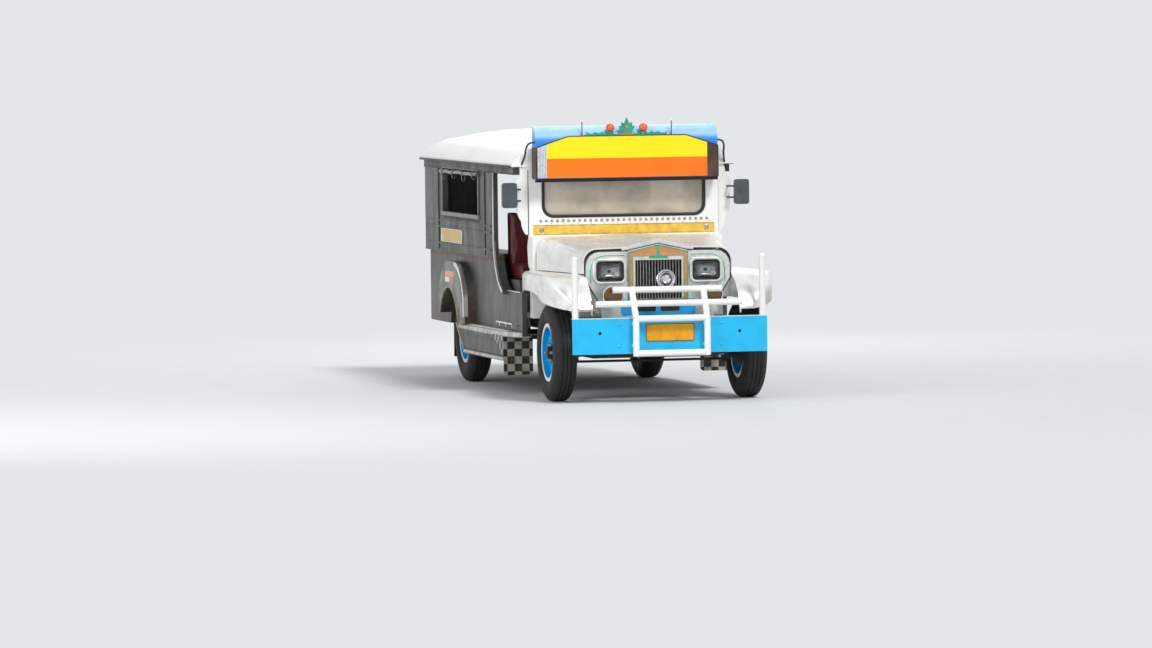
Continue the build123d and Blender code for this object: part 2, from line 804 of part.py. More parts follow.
def tyre_at(x, y):
    """A tyre whose middle stands at x, y."""
    axle = Axis((x, y, tyre_radius), (1, 0, 0))
    base = tyre_radius
    with BuildPart() as form:
        with BuildSketch(Plane.XZ.offset(-y)):
            with BuildLine():
                right_bead = Line((x + bead_half, base + bead_radius), (x + bead_half, base + bead_top))
                right_wall = ThreePointArc(
                    right_bead @ 1,
                    (x + tyre_half, base + bead_top + 60),
                    (x + tyre_half - 17, base + tyre_radius - 26),
                )
                shoulder = ThreePointArc(
                    right_wall @ 1,
                    (x + tyre_half - 28, base + tyre_radius - 10),
                    (x + tyre_half - 48, base + tyre_radius - 3),
                )
                crown = ThreePointArc(
                    shoulder @ 1,
                    (x, base + tyre_radius),
                    (x - tyre_half + 48, base + tyre_radius - 3),
                )
                far_shoulder = ThreePointArc(
                    crown @ 1,
                    (x - tyre_half + 28, base + tyre_radius - 10),
                    (x - tyre_half + 17, base + tyre_radius - 26),
                )
                left_wall = ThreePointArc(
                    far_shoulder @ 1,
                    (x - tyre_half, base + bead_top + 60),
                    (x - bead_half, base + bead_top),
                )
                Polyline(left_wall @ 1, (x - bead_half, base + bead_radius), right_bead @ 0)
            make_face()
        revolve(axis=axle)
    return form.part


def rim_at(x, y, out):
    """A rim with its flanges, disc and hub. out is 1 or -1, the way the disc faces."""
    axle = Axis((x, y, tyre_radius), (1, 0, 0))
    base = tyre_radius
    flange = bead_radius + 24
    barrel = bead_radius - 9
    with BuildPart() as form:
        with BuildSketch(Plane.XZ.offset(-y)):
            with BuildLine():
                Polyline(
                    (x - bead_half - 9, base + barrel),
                    (x - bead_half - 9, base + flange),
                    (x - bead_half, base + flange),
                    (x - bead_half, base + bead_radius),
                    (x + bead_half, base + bead_radius),
                    (x + bead_half, base + flange),
                    (x + bead_half + 9, base + flange),
                    (x + bead_half + 9, base + barrel),
                    close=True,
                )
            make_face()
            with BuildLine():
                Polyline(
                    (x + out * (disc_x - 10), base + barrel + 2),
                    (x + out * disc_x, base + barrel + 2),
                    (x + out * (disc_x + 22), base + 150),
                    (x + out * (disc_x + 22), base + 108),
                    (x + out * (disc_x + 2), base + 84),
                    (x + out * (disc_x + 2), base + hub_bore_radius),
                    (x + out * (disc_x - 8), base + hub_bore_radius),
                    (x + out * (disc_x - 8), base + 90),
                    (x + out * (disc_x + 12), base + 112),
                    (x + out * (disc_x + 12), base + 146),
                    close=True,
                )
            make_face()
            with BuildLine():
                Polyline(
                    (x - out * 40, base + hub_bore_radius),
                    (x - out * 40, base + 70),
                    (x + out * (disc_x + 20), base + 70),
                    (x + out * hub_half_length, base + 52),
                    (x + out * (hub_half_length + 12), base + 40),
                    (x + out * (hub_half_length + 12), base),
                    (x + out * (hub_half_length - 4), base),
                    (x + out * (hub_half_length - 4), base + hub_bore_radius),
                    close=True,
                )
            make_face()
        revolve(axis=axle)
        with BuildSketch(Plane.YZ.offset(x + out * (disc_x - 12))):
            with Locations((y, tyre_radius)):
                with PolarLocations(hand_hole_circle, hand_holes, start_angle=90):
                    Circle(hand_hole_radius)
        extrude(amount=out * 60, mode=Mode.SUBTRACT)
    return form.part


wheel_table = [              # name, place across, place along
    ("front_left", wheel_x, front_axle_y),
    ("front_right", -wheel_x, front_axle_y),
    ("rear_left", rear_wheel_x, rear_axle_y),
    ("rear_right", -rear_wheel_x, rear_axle_y),
]
for wheel_name, x, y in wheel_table:
    with BuildPart() as tyre:
        add(tyre_at(x, y))
    save(f"tyre_{wheel_name}", tyre)
    with BuildPart() as rim:
        add(rim_at(x, y, 1 if x > 0 else -1))
    save(f"rim_{wheel_name}", rim)

# Front bumper: a channel across the rails' ends, with a corner post and a hole for towing eyes.
post_x = 750
post_top_z = 1135
tow_hole_radius = 13
tow_hole_x = 560
plate_hole_spread = 178
plate_hole_radius = 3.5
plate_z = 553
with BuildPart() as front_bumper:
    block(
        (-bumper_half_width, bumper_half_width),
        (bumper_front_y, bumper_front_y + bumper_depth),
        (bumper_bottom_z, bumper_top_z),
    )
    fillet(front_bumper.edges().filter_by(Axis.Y), radius=12)
    block(
        (-bumper_half_width - 1, bumper_half_width + 1),
        (bumper_front_y + bumper_wall, bumper_front_y + bumper_depth + 1),
        (bumper_bottom_z + bumper_wall, bumper_top_z - bumper_wall),
        mode=Mode.SUBTRACT,
    )
    for side in (-1, 1):
        rod(
            (side * post_x, bumper_front_y + bumper_depth / 2, bumper_top_z - 1),
            (side * post_x, bumper_front_y + bumper_depth / 2, post_top_z),
            tube_radius,
        )
        rod(
            (side * tow_hole_x, bumper_front_y - 1, plate_z),
            (side * tow_hole_x, bumper_front_y + bumper_wall + 1, plate_z),
            tow_hole_radius,
            mode=Mode.SUBTRACT,
        )
        rod(
            (side * plate_hole_spread, bumper_front_y - 1, plate_z + 50),
            (side * plate_hole_spread, bumper_front_y + bumper_wall + 1, plate_z + 50),
            plate_hole_radius,
            mode=Mode.SUBTRACT,
        )
save("front_bumper", front_bumper)

# Guard: a white tube frame that stands on the bumper's face and leans back to its top bar.
guard_x = 285
guard_top_z = 885
guard_top_y = front_axle_y - 560
guard_front_y = front_axle_y - guard_reach + tube_radius
guard_low_z = bumper_bottom_z + 5
guard_bend_z = 665
tab_top_z = guard_top_z - 8
guard_bars = [               # height, half length
    (guard_low_z, guard_x + 10),
    (guard_bend_z, guard_x + 10),
    (780, 586),
    (guard_top_z, 435),
]
with BuildPart() as guard:
    lean = (guard_top_y - guard_front_y) / (guard_top_z - guard_bend_z)
    for side in (-1, 1):
        low = (side * guard_x, guard_front_y, guard_low_z - tube_radius + 3)
        bend = (side * guard_x, guard_front_y, guard_bend_z)
        rod(low, bend, tube_radius)
        rod(bend, (side * guard_x, guard_top_y, guard_top_z + 15), tube_radius)
        for z in (guard_low_z + 60, guard_bend_z - 40):
            rod((side * guard_x, guard_front_y, z), (side * guard_x, bumper_front_y, z), 20)
    for z, half in guard_bars:
        y = guard_front_y + max(0, (z - guard_bend_z) * lean)
        rod((-half, y, z), (half, y, z), tube_radius)
    block((-20, 20), (guard_top_y, guard_top_y + 95), (tab_top_z - 10, tab_top_z))
save("guard", guard)

# Amber lamps: two round lamps on stalks from the face.
amber_x = 400
amber_z = 832
amber_radius = 84
amber_depth = 60
amber_front_y = face_y - 170
with BuildPart() as amber_lamps:
    for side in (-1, 1):
        rod((side * amber_x, face_y, amber_z), (side * amber_x, amber_front_y, amber_z), 16)
        rod(
            (side * amber_x, amber_front_y + amber_depth, amber_z),
            (side * amber_x, amber_front_y, amber_z),
            amber_radius,
        )
    fillet(amber_lamps.edges().filter_by(GeomType.CIRCLE).group_by(Axis.Y)[0], radius=14)
save("amber_lamps", amber_lamps)

# Round lamp: a chromed lamp that stands on a tab behind the guard's top bar.
round_lamp_radius = 75
round_lamp_y = guard_top_y + 80
round_lamp_half = 40
round_lamp_z = 962
with BuildPart() as round_lamp:
    rod(
        (0, round_lamp_y + round_lamp_half, round_lamp_z),
        (0, round_lamp_y - round_lamp_half, round_lamp_z),
        round_lamp_radius,
    )
    fillet(round_lamp.edges().filter_by(GeomType.CIRCLE).group_by(Axis.Y)[0], radius=16)
    fillet(round_lamp.edges().filter_by(GeomType.CIRCLE).group_by(Axis.Y)[-1], radius=34)
    block((-14, 14), (round_lamp_y - 10, round_lamp_y + 10), (tab_top_z, round_lamp_z - 50))
save("round_lamp", round_lamp)

# Windshield frame: a flat frame on the cowl with a scalloped wing on each edge. The glass lies
# in a groove round its opening.
pane_half_width = 655
pane_bottom_z = 1430
pane_top_z = 1775
pane_middle_z = (pane_bottom_z + pane_top_z) / 2
pane_height = pane_top_z - pane_bottom_z
pane_corner = 85
glass_y = body_front_y + 18
glass_thickness = 6
glass_edge = 8
wing_thickness = 22
wing_low_z = cowl_top_z + 15
wing_height = roof_seat_z - wing_low_z
wing_scallops = [            # reach past the cowl, share of the height, rise of the scallop above
    (20, 0, 10),
    (57, 0.19, 18),
    (100, 0.55, 30),
    (63, 0.865, 5),
    (48, 1, 0),
]
wing_points = [(cowl_half_width + reach, wing_low_z + share * wing_height)
               for reach, share, rise in wing_scallops]
with BuildPart() as windshield_frame:
    with BuildSketch(at_y(body_front_y)):
        with Locations((0, (cowl_top_z + roof_seat_z) / 2)):
            Rectangle(2 * cowl_half_width, roof_seat_z - cowl_top_z)
    extrude(amount=body_front_y - cowl_rear_y)
    with BuildSketch(at_y(cowl_rear_y - wing_thickness)):
        with BuildLine():
            for low, high, scallop in zip(wing_points, wing_points[1:], wing_scallops):
                chord = Vector(*high) - Vector(*low)
                middle = (Vector(*high) + Vector(*low)) / 2
                bulge = middle + Vector(chord.Y, -chord.X) / chord.length * scallop[2]
                ThreePointArc(low, (bulge.X, bulge.Y), high)
            Polyline(
                wing_points[-1],
                (cowl_half_width - 1, roof_seat_z),
                (cowl_half_width - 1, wing_low_z),
                wing_points[0],
            )
        make_face()
        mirror(about=Plane.YZ)
    extrude(amount=-wing_thickness)
    with BuildSketch(at_y(body_front_y)):
        with Locations((0, pane_middle_z)):
            RectangleRounded(2 * pane_half_width, pane_height, pane_corner)
    extrude(amount=body_front_y - cowl_rear_y, mode=Mode.SUBTRACT)
    with BuildSketch(at_y(glass_y)):
        with Locations((0, pane_middle_z)):
            RectangleRounded(
                2 * (pane_half_width + glass_edge),
                pane_height + 2 * glass_edge,
                pane_corner + glass_edge,
            )
    extrude(amount=-glass_thickness, mode=Mode.SUBTRACT)
save("windshield_frame", windshield_frame)
with BuildPart() as windshield_glass:
    with BuildSketch(at_y(glass_y)):
        with Locations((0, pane_middle_z)):
            RectangleRounded(
                2 * (pane_half_width + glass_edge),
                pane_height + 2 * glass_edge,
                pane_corner + glass_edge,
            )
    extrude(amount=-glass_thickness)
save("windshield_glass", windshield_glass)

# Roof: a shell crowned across and rounded down at its tail, closed at the front.
roof_front_y = body_front_y


def roof_form(inset, seat):
    """The roof's outer volume, or the hollow under it."""
    past = inset and 1
    with BuildPart() as form:
        with BuildSketch(at_y(roof_front_y + inset)):
            with BuildLine():
                edge = Line((seat, roof_seat_z - past), (seat, roof_edge_z))
                corner = ThreePointArc(
                    edge @ 1,
                    (roof_edge_x - 95 - inset * 1.5, roof_edge_z + roof_rise * 0.395 - inset * 0.6),
                    (roof_edge_x - 260 - inset, roof_edge_z + roof_rise * 0.66 - inset),
                )
                crown = ThreePointArc(
                    corner @ 1,
                    ((roof_edge_x - 260) / 2, roof_top_z - roof_rise * 0.08 - inset),
                    (0, roof_top_z - inset),
                )
                Polyline(crown @ 1, (0, roof_seat_z - past), edge @ 0)
            make_face()
            mirror(about=Plane.YZ)
        extrude(amount=-(roof_rear_y - roof_front_y - 2 * inset))
        with BuildSketch(Plane.YZ.offset(-roof_edge_x - 1)):
            with BuildLine():
                ridge = Line(
                    (roof_front_y + inset, roof_top_z - inset),
                    (roof_rear_y - roof_tail, roof_top_z - inset),
                )
                tail = ThreePointArc(
                    ridge @ 1,
                    (roof_rear_y - 145 - inset, roof_top_z - roof_rise * 0.33 - inset),
                    (roof_rear_y - inset, roof_edge_z),
                )
                Polyline(
                    tail @ 1,
                    (roof_rear_y - inset, roof_seat_z - past),
                    (roof_front_y + inset, roof_seat_z - past),
                    ridge @ 0,
                )
            make_face()
        extrude(amount=2 * roof_edge_x + 2, mode=Mode.INTERSECT)
    return form.part


with BuildPart() as roof:
    add(roof_form(0, roof_edge_x))
    add(roof_form(roof_skin, roof_seat_x), mode=Mode.SUBTRACT)
    block(
        (-roof_seat_x, roof_seat_x),
        (body_rear_y - side_wall, body_rear_y),
        (roof_seat_z, roof_seat_z + roof_skin),
    )
save("roof", roof)

# Visor: a sign box over the windshield with a rounded blue top, open below behind the board.
visor_front_y = firewall_y - 10
visor_half_width = 745
visor_bottom_z = 1725
visor_top_z = 2145
visor_wall = 20
sign_half_width = visor_half_width - 8
sign_top_z = visor_top_z - 79
sign_bottom_z = visor_bottom_z + 3
sign_corner = (257, 86)      # how far the sign's top corners are cut, across and down
sign_depth = 14
visor_shoulder_z = sign_top_z - 20
with BuildPart() as visor:
    for inset in (0, visor_wall):
        past = inset and 1
        with BuildSketch(Plane.YZ.offset(-visor_half_width + inset)):
            with BuildLine():
                front = Line(
                    (visor_front_y + inset, visor_bottom_z - past),
                    (visor_front_y + inset, visor_shoulder_z),
                )
                top = ThreePointArc(
                    front @ 1,
                    (visor_front_y + 42 + inset * 0.6, visor_top_z - 30 - inset),
                    (roof_front_y - inset, visor_top_z - inset),
                )
                Polyline(
                    top @ 1,
                    (roof_front_y - inset, visor_bottom_z - past),
                    front @ 0,
                )
            make_face()
        extrude(amount=2 * (visor_half_width - inset), mode=Mode.SUBTRACT if inset else Mode.ADD)
    with BuildSketch(at_y(visor_front_y - sign_depth)):
        with BuildLine():
            Polyline(
                (-sign_half_width, sign_bottom_z),
                (sign_half_width, sign_bottom_z),
                (sign_half_width, sign_top_z - sign_corner[1]),
                (sign_half_width - sign_corner[0], sign_top_z),
                (-sign_half_width + sign_corner[0], sign_top_z),
                (-sign_half_width, sign_top_z - sign_corner[1]),
                close=True,
            )
        make_face()
    extrude(amount=-(sign_depth + 15))
save("visor", visor)

# Crest on the sign's top edge: a crown between two balls on a strip of leaf scrolls, and two
# short staffs.
crest_z = sign_top_z
crest_thickness = 16
crown_half = [               # half width and height of the crown's points from its foot
    (50, 0),
    (40, 26),
    (70, 82),
    (48, 72),
    (43, 108),
    (22, 96),
]
crown_height = 146
ball_x = 135
ball_z = 62
ball_radius = 36
leaf_reach = 338
staff_x = 365
staff_width = 12
staff_height = 132
with BuildPart() as crest:
    with BuildSketch(at_y(visor_front_y - sign_depth)):
        with BuildLine():
            right_side = [(x, crest_z + z) for x, z in crown_half]
            left_side = [(-x, crest_z + z) for x, z in reversed(crown_half)]
            Polyline(*right_side, (0, crest_z + crown_height), *left_side, close=True)
        make_face()
        with Locations((-ball_x, crest_z + ball_z), (ball_x, crest_z + ball_z)):
            Circle(ball_radius)
        for side in (-1, 1):
            with BuildLine():
                foot = Line((side * 40, crest_z), (side * (leaf_reach - 20), crest_z))
                tip = ThreePointArc(
                    foot @ 1,
                    (side * (leaf_reach - 4), crest_z + 16),
                    (side * leaf_reach, crest_z + 38),
                )
                upper = ThreePointArc(
                    tip @ 1,
                    (side * (leaf_reach - 50), crest_z + 20),
                    (side * (leaf_reach - 110), crest_z + 34),
                )
                hollow = ThreePointArc(
                    upper @ 1,
                    (side * (leaf_reach - 160), crest_z + 20),
                    (side * (ball_x + 12), crest_z + 34),
                )
                Polyline(hollow @ 1, (side * 40, crest_z + 34), foot @ 0)
            make_face()
        staff_places = [(-staff_x, crest_z + staff_height / 2), (staff_x, crest_z + staff_height / 2)]
        with Locations(*staff_places):
            Rectangle(staff_width, staff_height)
    extrude(amount=-crest_thickness)
save("crest", crest)

# Side panels: lower wall, a ledge out to the belt, and an upper wall with one long window in a
# raised frame. The doorway's rear edge sweeps forward to the sill inside a raised jamb, rub
# rails run under the window, and a valance hangs over it.
belt_wall = 40
window_front_y = door_rear_y + 560
window_rear_y = rear_axle_y + 480
window_corner = 45
window_frame = 22
window_frame_depth = 8
arch_radius = 435
door_sweep = (325, 390)      # how far the doorway's lower rear corner reaches, along and up
jamb_width = 32
valance_height = 60
valance_depth = 6
rail_rises = (65, 205, 255)  # rub rails over the belt's lower edge
rail_height_z = [belt_bottom_z + rise for rise in rail_rises]
rail_size = (12, 8)          # height and depth of a rub rail


def doorway_sweep(offset):
    """The doorway's swept lower rear corner, moved out by offset, from the sill up."""
    along, up = door_sweep
    return ThreePointArc(
        (door_rear_y - along, door_sill_z - offset),
        (door_rear_y - along * 0.385 + offset * 0.7, door_sill_z + up * 0.295 - offset * 0.7),
        (door_rear_y + offset, door_sill_z + up),
    )


with BuildPart() as side_left:
    with BuildSketch(at_y(body_front_y)):
        with BuildLine():
            Polyline(
                (side_x - side_wall, panel_bottom_z),
                (side_x, panel_bottom_z),
                (side_x, belt_bottom_z),
                (belt_x, belt_bottom_z),
                (belt_x, roof_seat_z),
                (belt_x - belt_wall, roof_seat_z),
                (belt_x - belt_wall, belt_bottom_z + 30),
                (side_x - side_wall, belt_bottom_z + 30),
                close=True,
            )
        make_face()
    extrude(amount=body_front_y - body_rear_y)
    with BuildSketch(Plane.YZ.offset(side_x - 1)):
        with BuildLine():
            near = doorway_sweep(0)
            far = doorway_sweep(jamb_width)
            Line(near @ 0, far @ 0)
            Line(near @ 1, far @ 1)
        make_face()
    extrude(amount=belt_x - side_x + 1)
    with BuildSketch(Plane.YZ.offset(belt_x - 1)):
        with Locations(((window_front_y + window_rear_y) / 2, (belt_top_z + window_top_z) / 2)):
            RectangleRounded(
                window_rear_y - window_front_y + 2 * window_frame,
                window_top_z - belt_top_z + 2 * window_frame,
                window_corner + window_frame,
            )
    extrude(amount=window_frame_depth + 1)
    block(
        (belt_x - 1, belt_x + valance_depth),
        (cowl_rear_y + wing_thickness, body_rear_y),
        (roof_seat_z - valance_height, roof_seat_z),
    )
    for z in rail_height_z:
        block(
            (belt_x - 1, belt_x + rail_size[1]),
            (door_rear_y + 80, body_rear_y - 60),
            (z - rail_size[0] / 2, z + rail_size[0] / 2),
        )
    with BuildSketch(Plane.YZ.offset(inner_x - 1)):
        with Locations(((window_front_y + window_rear_y) / 2, (belt_top_z + window_top_z) / 2)):
            RectangleRounded(window_rear_y - window_front_y, window_top_z - belt_top_z, window_corner)
        with Locations((rear_axle_y, tyre_radius)):
            Circle(arch_radius)
        with BuildLine():
            corner = doorway_sweep(0)
            Polyline(
                corner @ 1,
                (door_rear_y, window_top_z),
                (cowl_rear_y, window_top_z),
                (cowl_rear_y, roof_seat_z + 1),
                (body_front_y - 1, roof_seat_z + 1),
                (body_front_y - 1, door_sill_z),
                corner @ 0,
            )
        make_face()
    extrude(amount=belt_x, mode=Mode.SUBTRACT)
save("side_left", side_left)
with BuildPart() as side_right:
    mirror(side_left.part, about=Plane.YZ)
save("side_right", side_right)

# Rear wall: between the side panels, with the open doorway in a raised frame.
doorway_half = 330
doorway_top_z = 1740
doorway_frame = 26
doorway_frame_depth = 8
with BuildPart() as rear_wall:
    with BuildSketch(at_y(body_rear_y - side_wall)):
        with BuildLine():
            Polyline(
                (inner_x, panel_bottom_z),
                (inner_x, belt_bottom_z + 30),
                (belt_x - belt_wall, belt_bottom_z + 30),
                (belt_x - belt_wall, roof_seat_z),
                (-belt_x + belt_wall, roof_seat_z),
                (-belt_x + belt_wall, belt_bottom_z + 30),
                (-inner_x, belt_bottom_z + 30),
                (-inner_x, panel_bottom_z),
                close=True,
            )
        make_face()
        with Locations((0, (floor_top_z + doorway_top_z) / 2)):
            Rectangle(2 * doorway_half, doorway_top_z - floor_top_z, mode=Mode.SUBTRACT)
        with Locations((rail_x, rail_bottom_z + rail_height / 2)):
            Rectangle(rail_flange + 4, rail_height + 4, mode=Mode.SUBTRACT)
        with Locations((-rail_x, rail_bottom_z + rail_height / 2)):
            Rectangle(rail_flange + 4, rail_height + 4, mode=Mode.SUBTRACT)
        with Locations((exhaust_x, exhaust_z)):
            Circle(exhaust_radius + 15, mode=Mode.SUBTRACT)
            with Locations((0, -40)):
                Rectangle(2 * exhaust_radius + 30, 80, mode=Mode.SUBTRACT)
    extrude(amount=-side_wall)
    with BuildSketch(at_y(body_rear_y - 1)):
        with Locations((0, (floor_top_z + doorway_top_z + doorway_frame) / 2)):
            Rectangle(
                2 * (doorway_half + doorway_frame),
                doorway_top_z + doorway_frame - floor_top_z,
            )
        with Locations((0, (floor_top_z + doorway_top_z) / 2)):
            Rectangle(2 * doorway_half, doorway_top_z - floor_top_z, mode=Mode.SUBTRACT)
    extrude(amount=-doorway_frame_depth - 1)
    for z in rail_height_z:
        for side in (-1, 1):
            rail = sorted((side * (doorway_half + doorway_frame + 10), side * (belt_x - belt_wall - 10)))
            block(
                rail,
                (body_rear_y - 1, body_rear_y + rail_size[1]),
                (z - rail_size[0] / 2, z + rail_size[0] / 2),
            )
save("rear_wall", rear_wall)

# Grab rails: a bent tube on each side of the rear doorway.
grab_x = 420
grab_z = (980, 1650)
grab_reach = 48
grab_radius = 12
with BuildPart() as grab_rails:
    with BuildLine() as grab_path:
        FilletPolyline(
            (grab_x, body_rear_y, grab_z[0]),
            (grab_x, body_rear_y + grab_reach, grab_z[0]),
            (grab_x, body_rear_y + grab_reach, grab_z[1]),
            (grab_x, body_rear_y, grab_z[1]),
            radius=grab_reach * 0.6,
        )
    with BuildSketch(Plane((grab_x, body_rear_y, grab_z[0]), z_dir=(0, 1, 0))):
        Circle(grab_radius)
    sweep(path=grab_path.wire())
    mirror(about=Plane.YZ)
save("grab_rails", grab_rails)

# Rear fenders: a pod on each side that stands out over the wheel, with a raised band round its
# front.
pod_x = 935
pod_top_z = 1000
pod_front_y = rear_axle_y - 592
pod_rear_y = rear_axle_y + 480
pod_low_z = 560
pod_knee_z = 700
pod_arch = 400
pod_arch_y = rear_axle_y + 60
pod_band = 36
pod_band_depth = 6


def pod_front(offset):
    """The pod's front edge and the rise to its ridge, moved in by offset."""
    low = Line((pod_front_y + offset, pod_low_z), (pod_front_y + offset, pod_knee_z))
    rise = ThreePointArc(
        low @ 1,
        (pod_front_y + 112 + offset * 0.7, pod_top_z - 112 - offset * 0.7),
        (pod_front_y + 385, pod_top_z - offset),
    )
    return low, rise


with BuildPart() as rear_fenders:
    with BuildSketch(Plane.YZ.offset(side_x)):
        with BuildLine():
            low_front, front_curve = pod_front(0)
            ridge = Line(front_curve @ 1, (pod_rear_y - 420, pod_top_z))
            rear_curve = ThreePointArc(
                ridge @ 1,
                (pod_rear_y - 108, pod_top_z - 130),
                (pod_rear_y, pod_knee_z),
            )
            Polyline(rear_curve @ 1, (pod_rear_y, pod_low_z), low_front @ 0)
        make_face()
        with Locations((pod_arch_y, tyre_radius)):
            Circle(pod_arch, mode=Mode.SUBTRACT)
    extrude(amount=pod_x - side_x)
    with BuildSketch(Plane.YZ.offset(pod_x - 1)):
        with BuildLine():
            low_outer, rise_outer = pod_front(0)
            low_inner, rise_inner = pod_front(pod_band)
            Line(low_outer @ 0, low_inner @ 0)
            Line(rise_outer @ 1, rise_inner @ 1)
        make_face()
    extrude(amount=pod_band_depth + 1)
    mirror(about=Plane.YZ)
save("rear_fenders", rear_fenders)

# Running boards: a deep box along each side with a rounded top edge, a lip and a slanted tail,
# and a ledge that tapers to the cab's front corner; brackets carry it from the frame.
board_outer_x = 930
board_inner_x = 770
board_front_y = rear_axle_y - 2100
board_rear_y = rear_axle_y - 240
board_top_z = 500
board_low_z = 265
board_skin = 10
board_slant = 330
board_round = 32
ledge_thickness = 38
tail_inner_x = side_x + 6    # the boards' tails pass outside the rear tyres
tail_front_y = rear_axle_y - 500
lip_radius = 15
bracket_height = 40
bracket_places = (board_front_y + 120, rear_axle_y - 710)
with BuildPart() as running_boards:
    with BuildSketch(Plane.YZ.offset(board_inner_x)):
        with BuildLine():
            Polyline(
                (board_front_y, board_low_z),
                (board_rear_y - board_slant, board_low_z),
                (board_rear_y, board_top_z),
                (board_front_y, board_top_z),
                close=True,
            )
        make_face()
    extrude(amount=board_outer_x - board_inner_x)
    fillet(running_boards.edges().group_by(Axis.Z)[-1].sort_by(Axis.X)[-1], radius=board_round)
    with BuildSketch(Plane.XY.offset(board_top_z - ledge_thickness)):
        with BuildLine():
            Polyline(
                (board_inner_x, board_front_y + 1),
                (board_outer_x, board_front_y + 1),
                (side_x + 8, body_front_y),
                (board_inner_x, body_front_y),
                close=True,
            )
        make_face()
    extrude(amount=ledge_thickness)
    block(
        (board_inner_x - 1, side_x),
        (body_front_y - 1, board_rear_y + 1),
        (panel_bottom_z, board_top_z + 1),
        mode=Mode.SUBTRACT,
    )
    block(
        (board_inner_x - 1, tail_inner_x),
        (tail_front_y, board_rear_y + 1),
        (board_low_z - 1, board_top_z + 1),
        mode=Mode.SUBTRACT,
    )
    rod(
        (board_outer_x, board_front_y, board_low_z + lip_radius),
        (board_outer_x, board_rear_y - board_slant, board_low_z + lip_radius),
        lip_radius,
    )
    block(
        (board_inner_x - 1, board_outer_x - board_skin - lip_radius),
        (board_front_y + board_skin, board_rear_y - board_slant - board_skin),
        (board_low_z - 1, panel_bottom_z - board_skin),
        mode=Mode.SUBTRACT,
    )
    for place in bracket_places:
        block(
            (rail_outer_x, board_outer_x - board_skin),
            (place - 25, place + 25),
            (panel_bottom_z - bracket_height, panel_bottom_z),
        )
        block(
            (rail_outer_x, rail_outer_x + 12),
            (place - 25, place + 25),
            (panel_bottom_z - bracket_height, rail_top_z - 20),
        )
    mirror(about=Plane.YZ)
save("running_boards", running_boards)

# Mud flaps: chequered ones hung on the running boards' front ends, plain ones under the body's
# tail.
flap_thickness = 8
front_flap_width = 240
rear_flap_width = 150
flap_low_z = 150
flap_high_z = board_top_z - ledge_thickness - 2
flap_corner = 30
with BuildPart() as mud_flaps:
    with BuildSketch(at_y(board_front_y)):
        with Locations((board_outer_x - front_flap_width / 2, (flap_low_z + flap_high_z) / 2)):
            RectangleRounded(front_flap_width, flap_high_z - flap_low_z, flap_corner)
    extrude(amount=flap_thickness)
    rear_flap_y = rear_axle_y + arch_radius + 60
    block(
        (side_x - rear_flap_width - side_wall, side_x - side_wall),
        (rear_flap_y, rear_flap_y + flap_thickness),
        (flap_low_z + 35, rail_top_z),
    )
    mirror(about=Plane.YZ)
save("mud_flaps", mud_flaps)

# Rear step: a plate on two arms that come from the last cross member.
step_half_width = 420
step_top_z = 430
step_thickness = 30
arm_x = 200
arm_width = 40
with BuildPart() as rear_step:
    block(
        (-step_half_width, step_half_width),
        (body_rear_y + 10, step_rear_y),
        (step_top_z - step_thickness, step_top_z),
    )
    for side in (-1, 1):
        arm = sorted((side * (arm_x - arm_width / 2), side * (arm_x + arm_width / 2)))
        block(
            arm,
            (cross_places[-1] - cross_width / 2, step_rear_y - 40),
            (step_top_z - step_thickness, step_top_z),
        )
        block(
            arm,
            (cross_places[-1] - cross_width / 2, cross_places[-1] + cross_width / 2),
            (step_top_z - step_thickness, cross_bottom_z),
        )
save("rear_step", rear_step)

# Passenger benches: a pressed box along each wall that also covers the wheel from inside.
bench_front_y = door_rear_y + 230
bench_rear_y = body_rear_y - side_wall
bench_inner_x = 430
bench_top_z = 1010
bench_skin = 18
cushion_height = 85
back_thickness = 55
back_bottom_z = belt_bottom_z + 50
back_x = belt_x - belt_wall
with BuildPart() as bench_pads:
    block((bench_inner_x, inner_x), (bench_front_y, bench_rear_y), (bench_top_z, bench_top_z + cushion_height))
    fillet(bench_pads.edges().filter_by(Axis.Y).group_by(Axis.Z)[-1], radius=24)
    block(
        (back_x - back_thickness, back_x),
        (bench_front_y, bench_rear_y),
        (back_bottom_z, belt_top_z - 20),
    )
    mirror(about=Plane.YZ)
save("bench_pads", bench_pads)

# Front seat: a box across the cab with a cushion and an upright back.
seat_front_y = front_axle_y + 1400
seat_rear_y = door_rear_y + 160
seat_gap = 40                # seat to the body's side wall
seat_half_width = inner_x - seat_gap
seat_box_top_z = 900
seat_cushion_height = 130
seat_back_thickness = 110
seat_back_top_z = 1450
seat_back_y = seat_rear_y - seat_back_thickness
pad_gap = 2
with BuildPart() as seat_boxes:
    block((bench_inner_x, inner_x), (bench_front_y, bench_rear_y), (floor_top_z, bench_top_z))
    block(
        (bench_inner_x + bench_skin, inner_x + 1),
        (bench_front_y + bench_skin, bench_rear_y - bench_skin),
        (floor_top_z - 1, bench_top_z - bench_skin),
        mode=Mode.SUBTRACT,
    )
    mirror(about=Plane.YZ)
    block((-seat_half_width, seat_half_width), (seat_front_y, seat_rear_y), (floor_top_z, seat_box_top_z))
    block(
        (-seat_half_width + bench_skin, seat_half_width - bench_skin),
        (seat_front_y + bench_skin, seat_rear_y - bench_skin),
        (floor_top_z - 1, seat_box_top_z - bench_skin),
        mode=Mode.SUBTRACT,
    )
save("seat_boxes", seat_boxes)
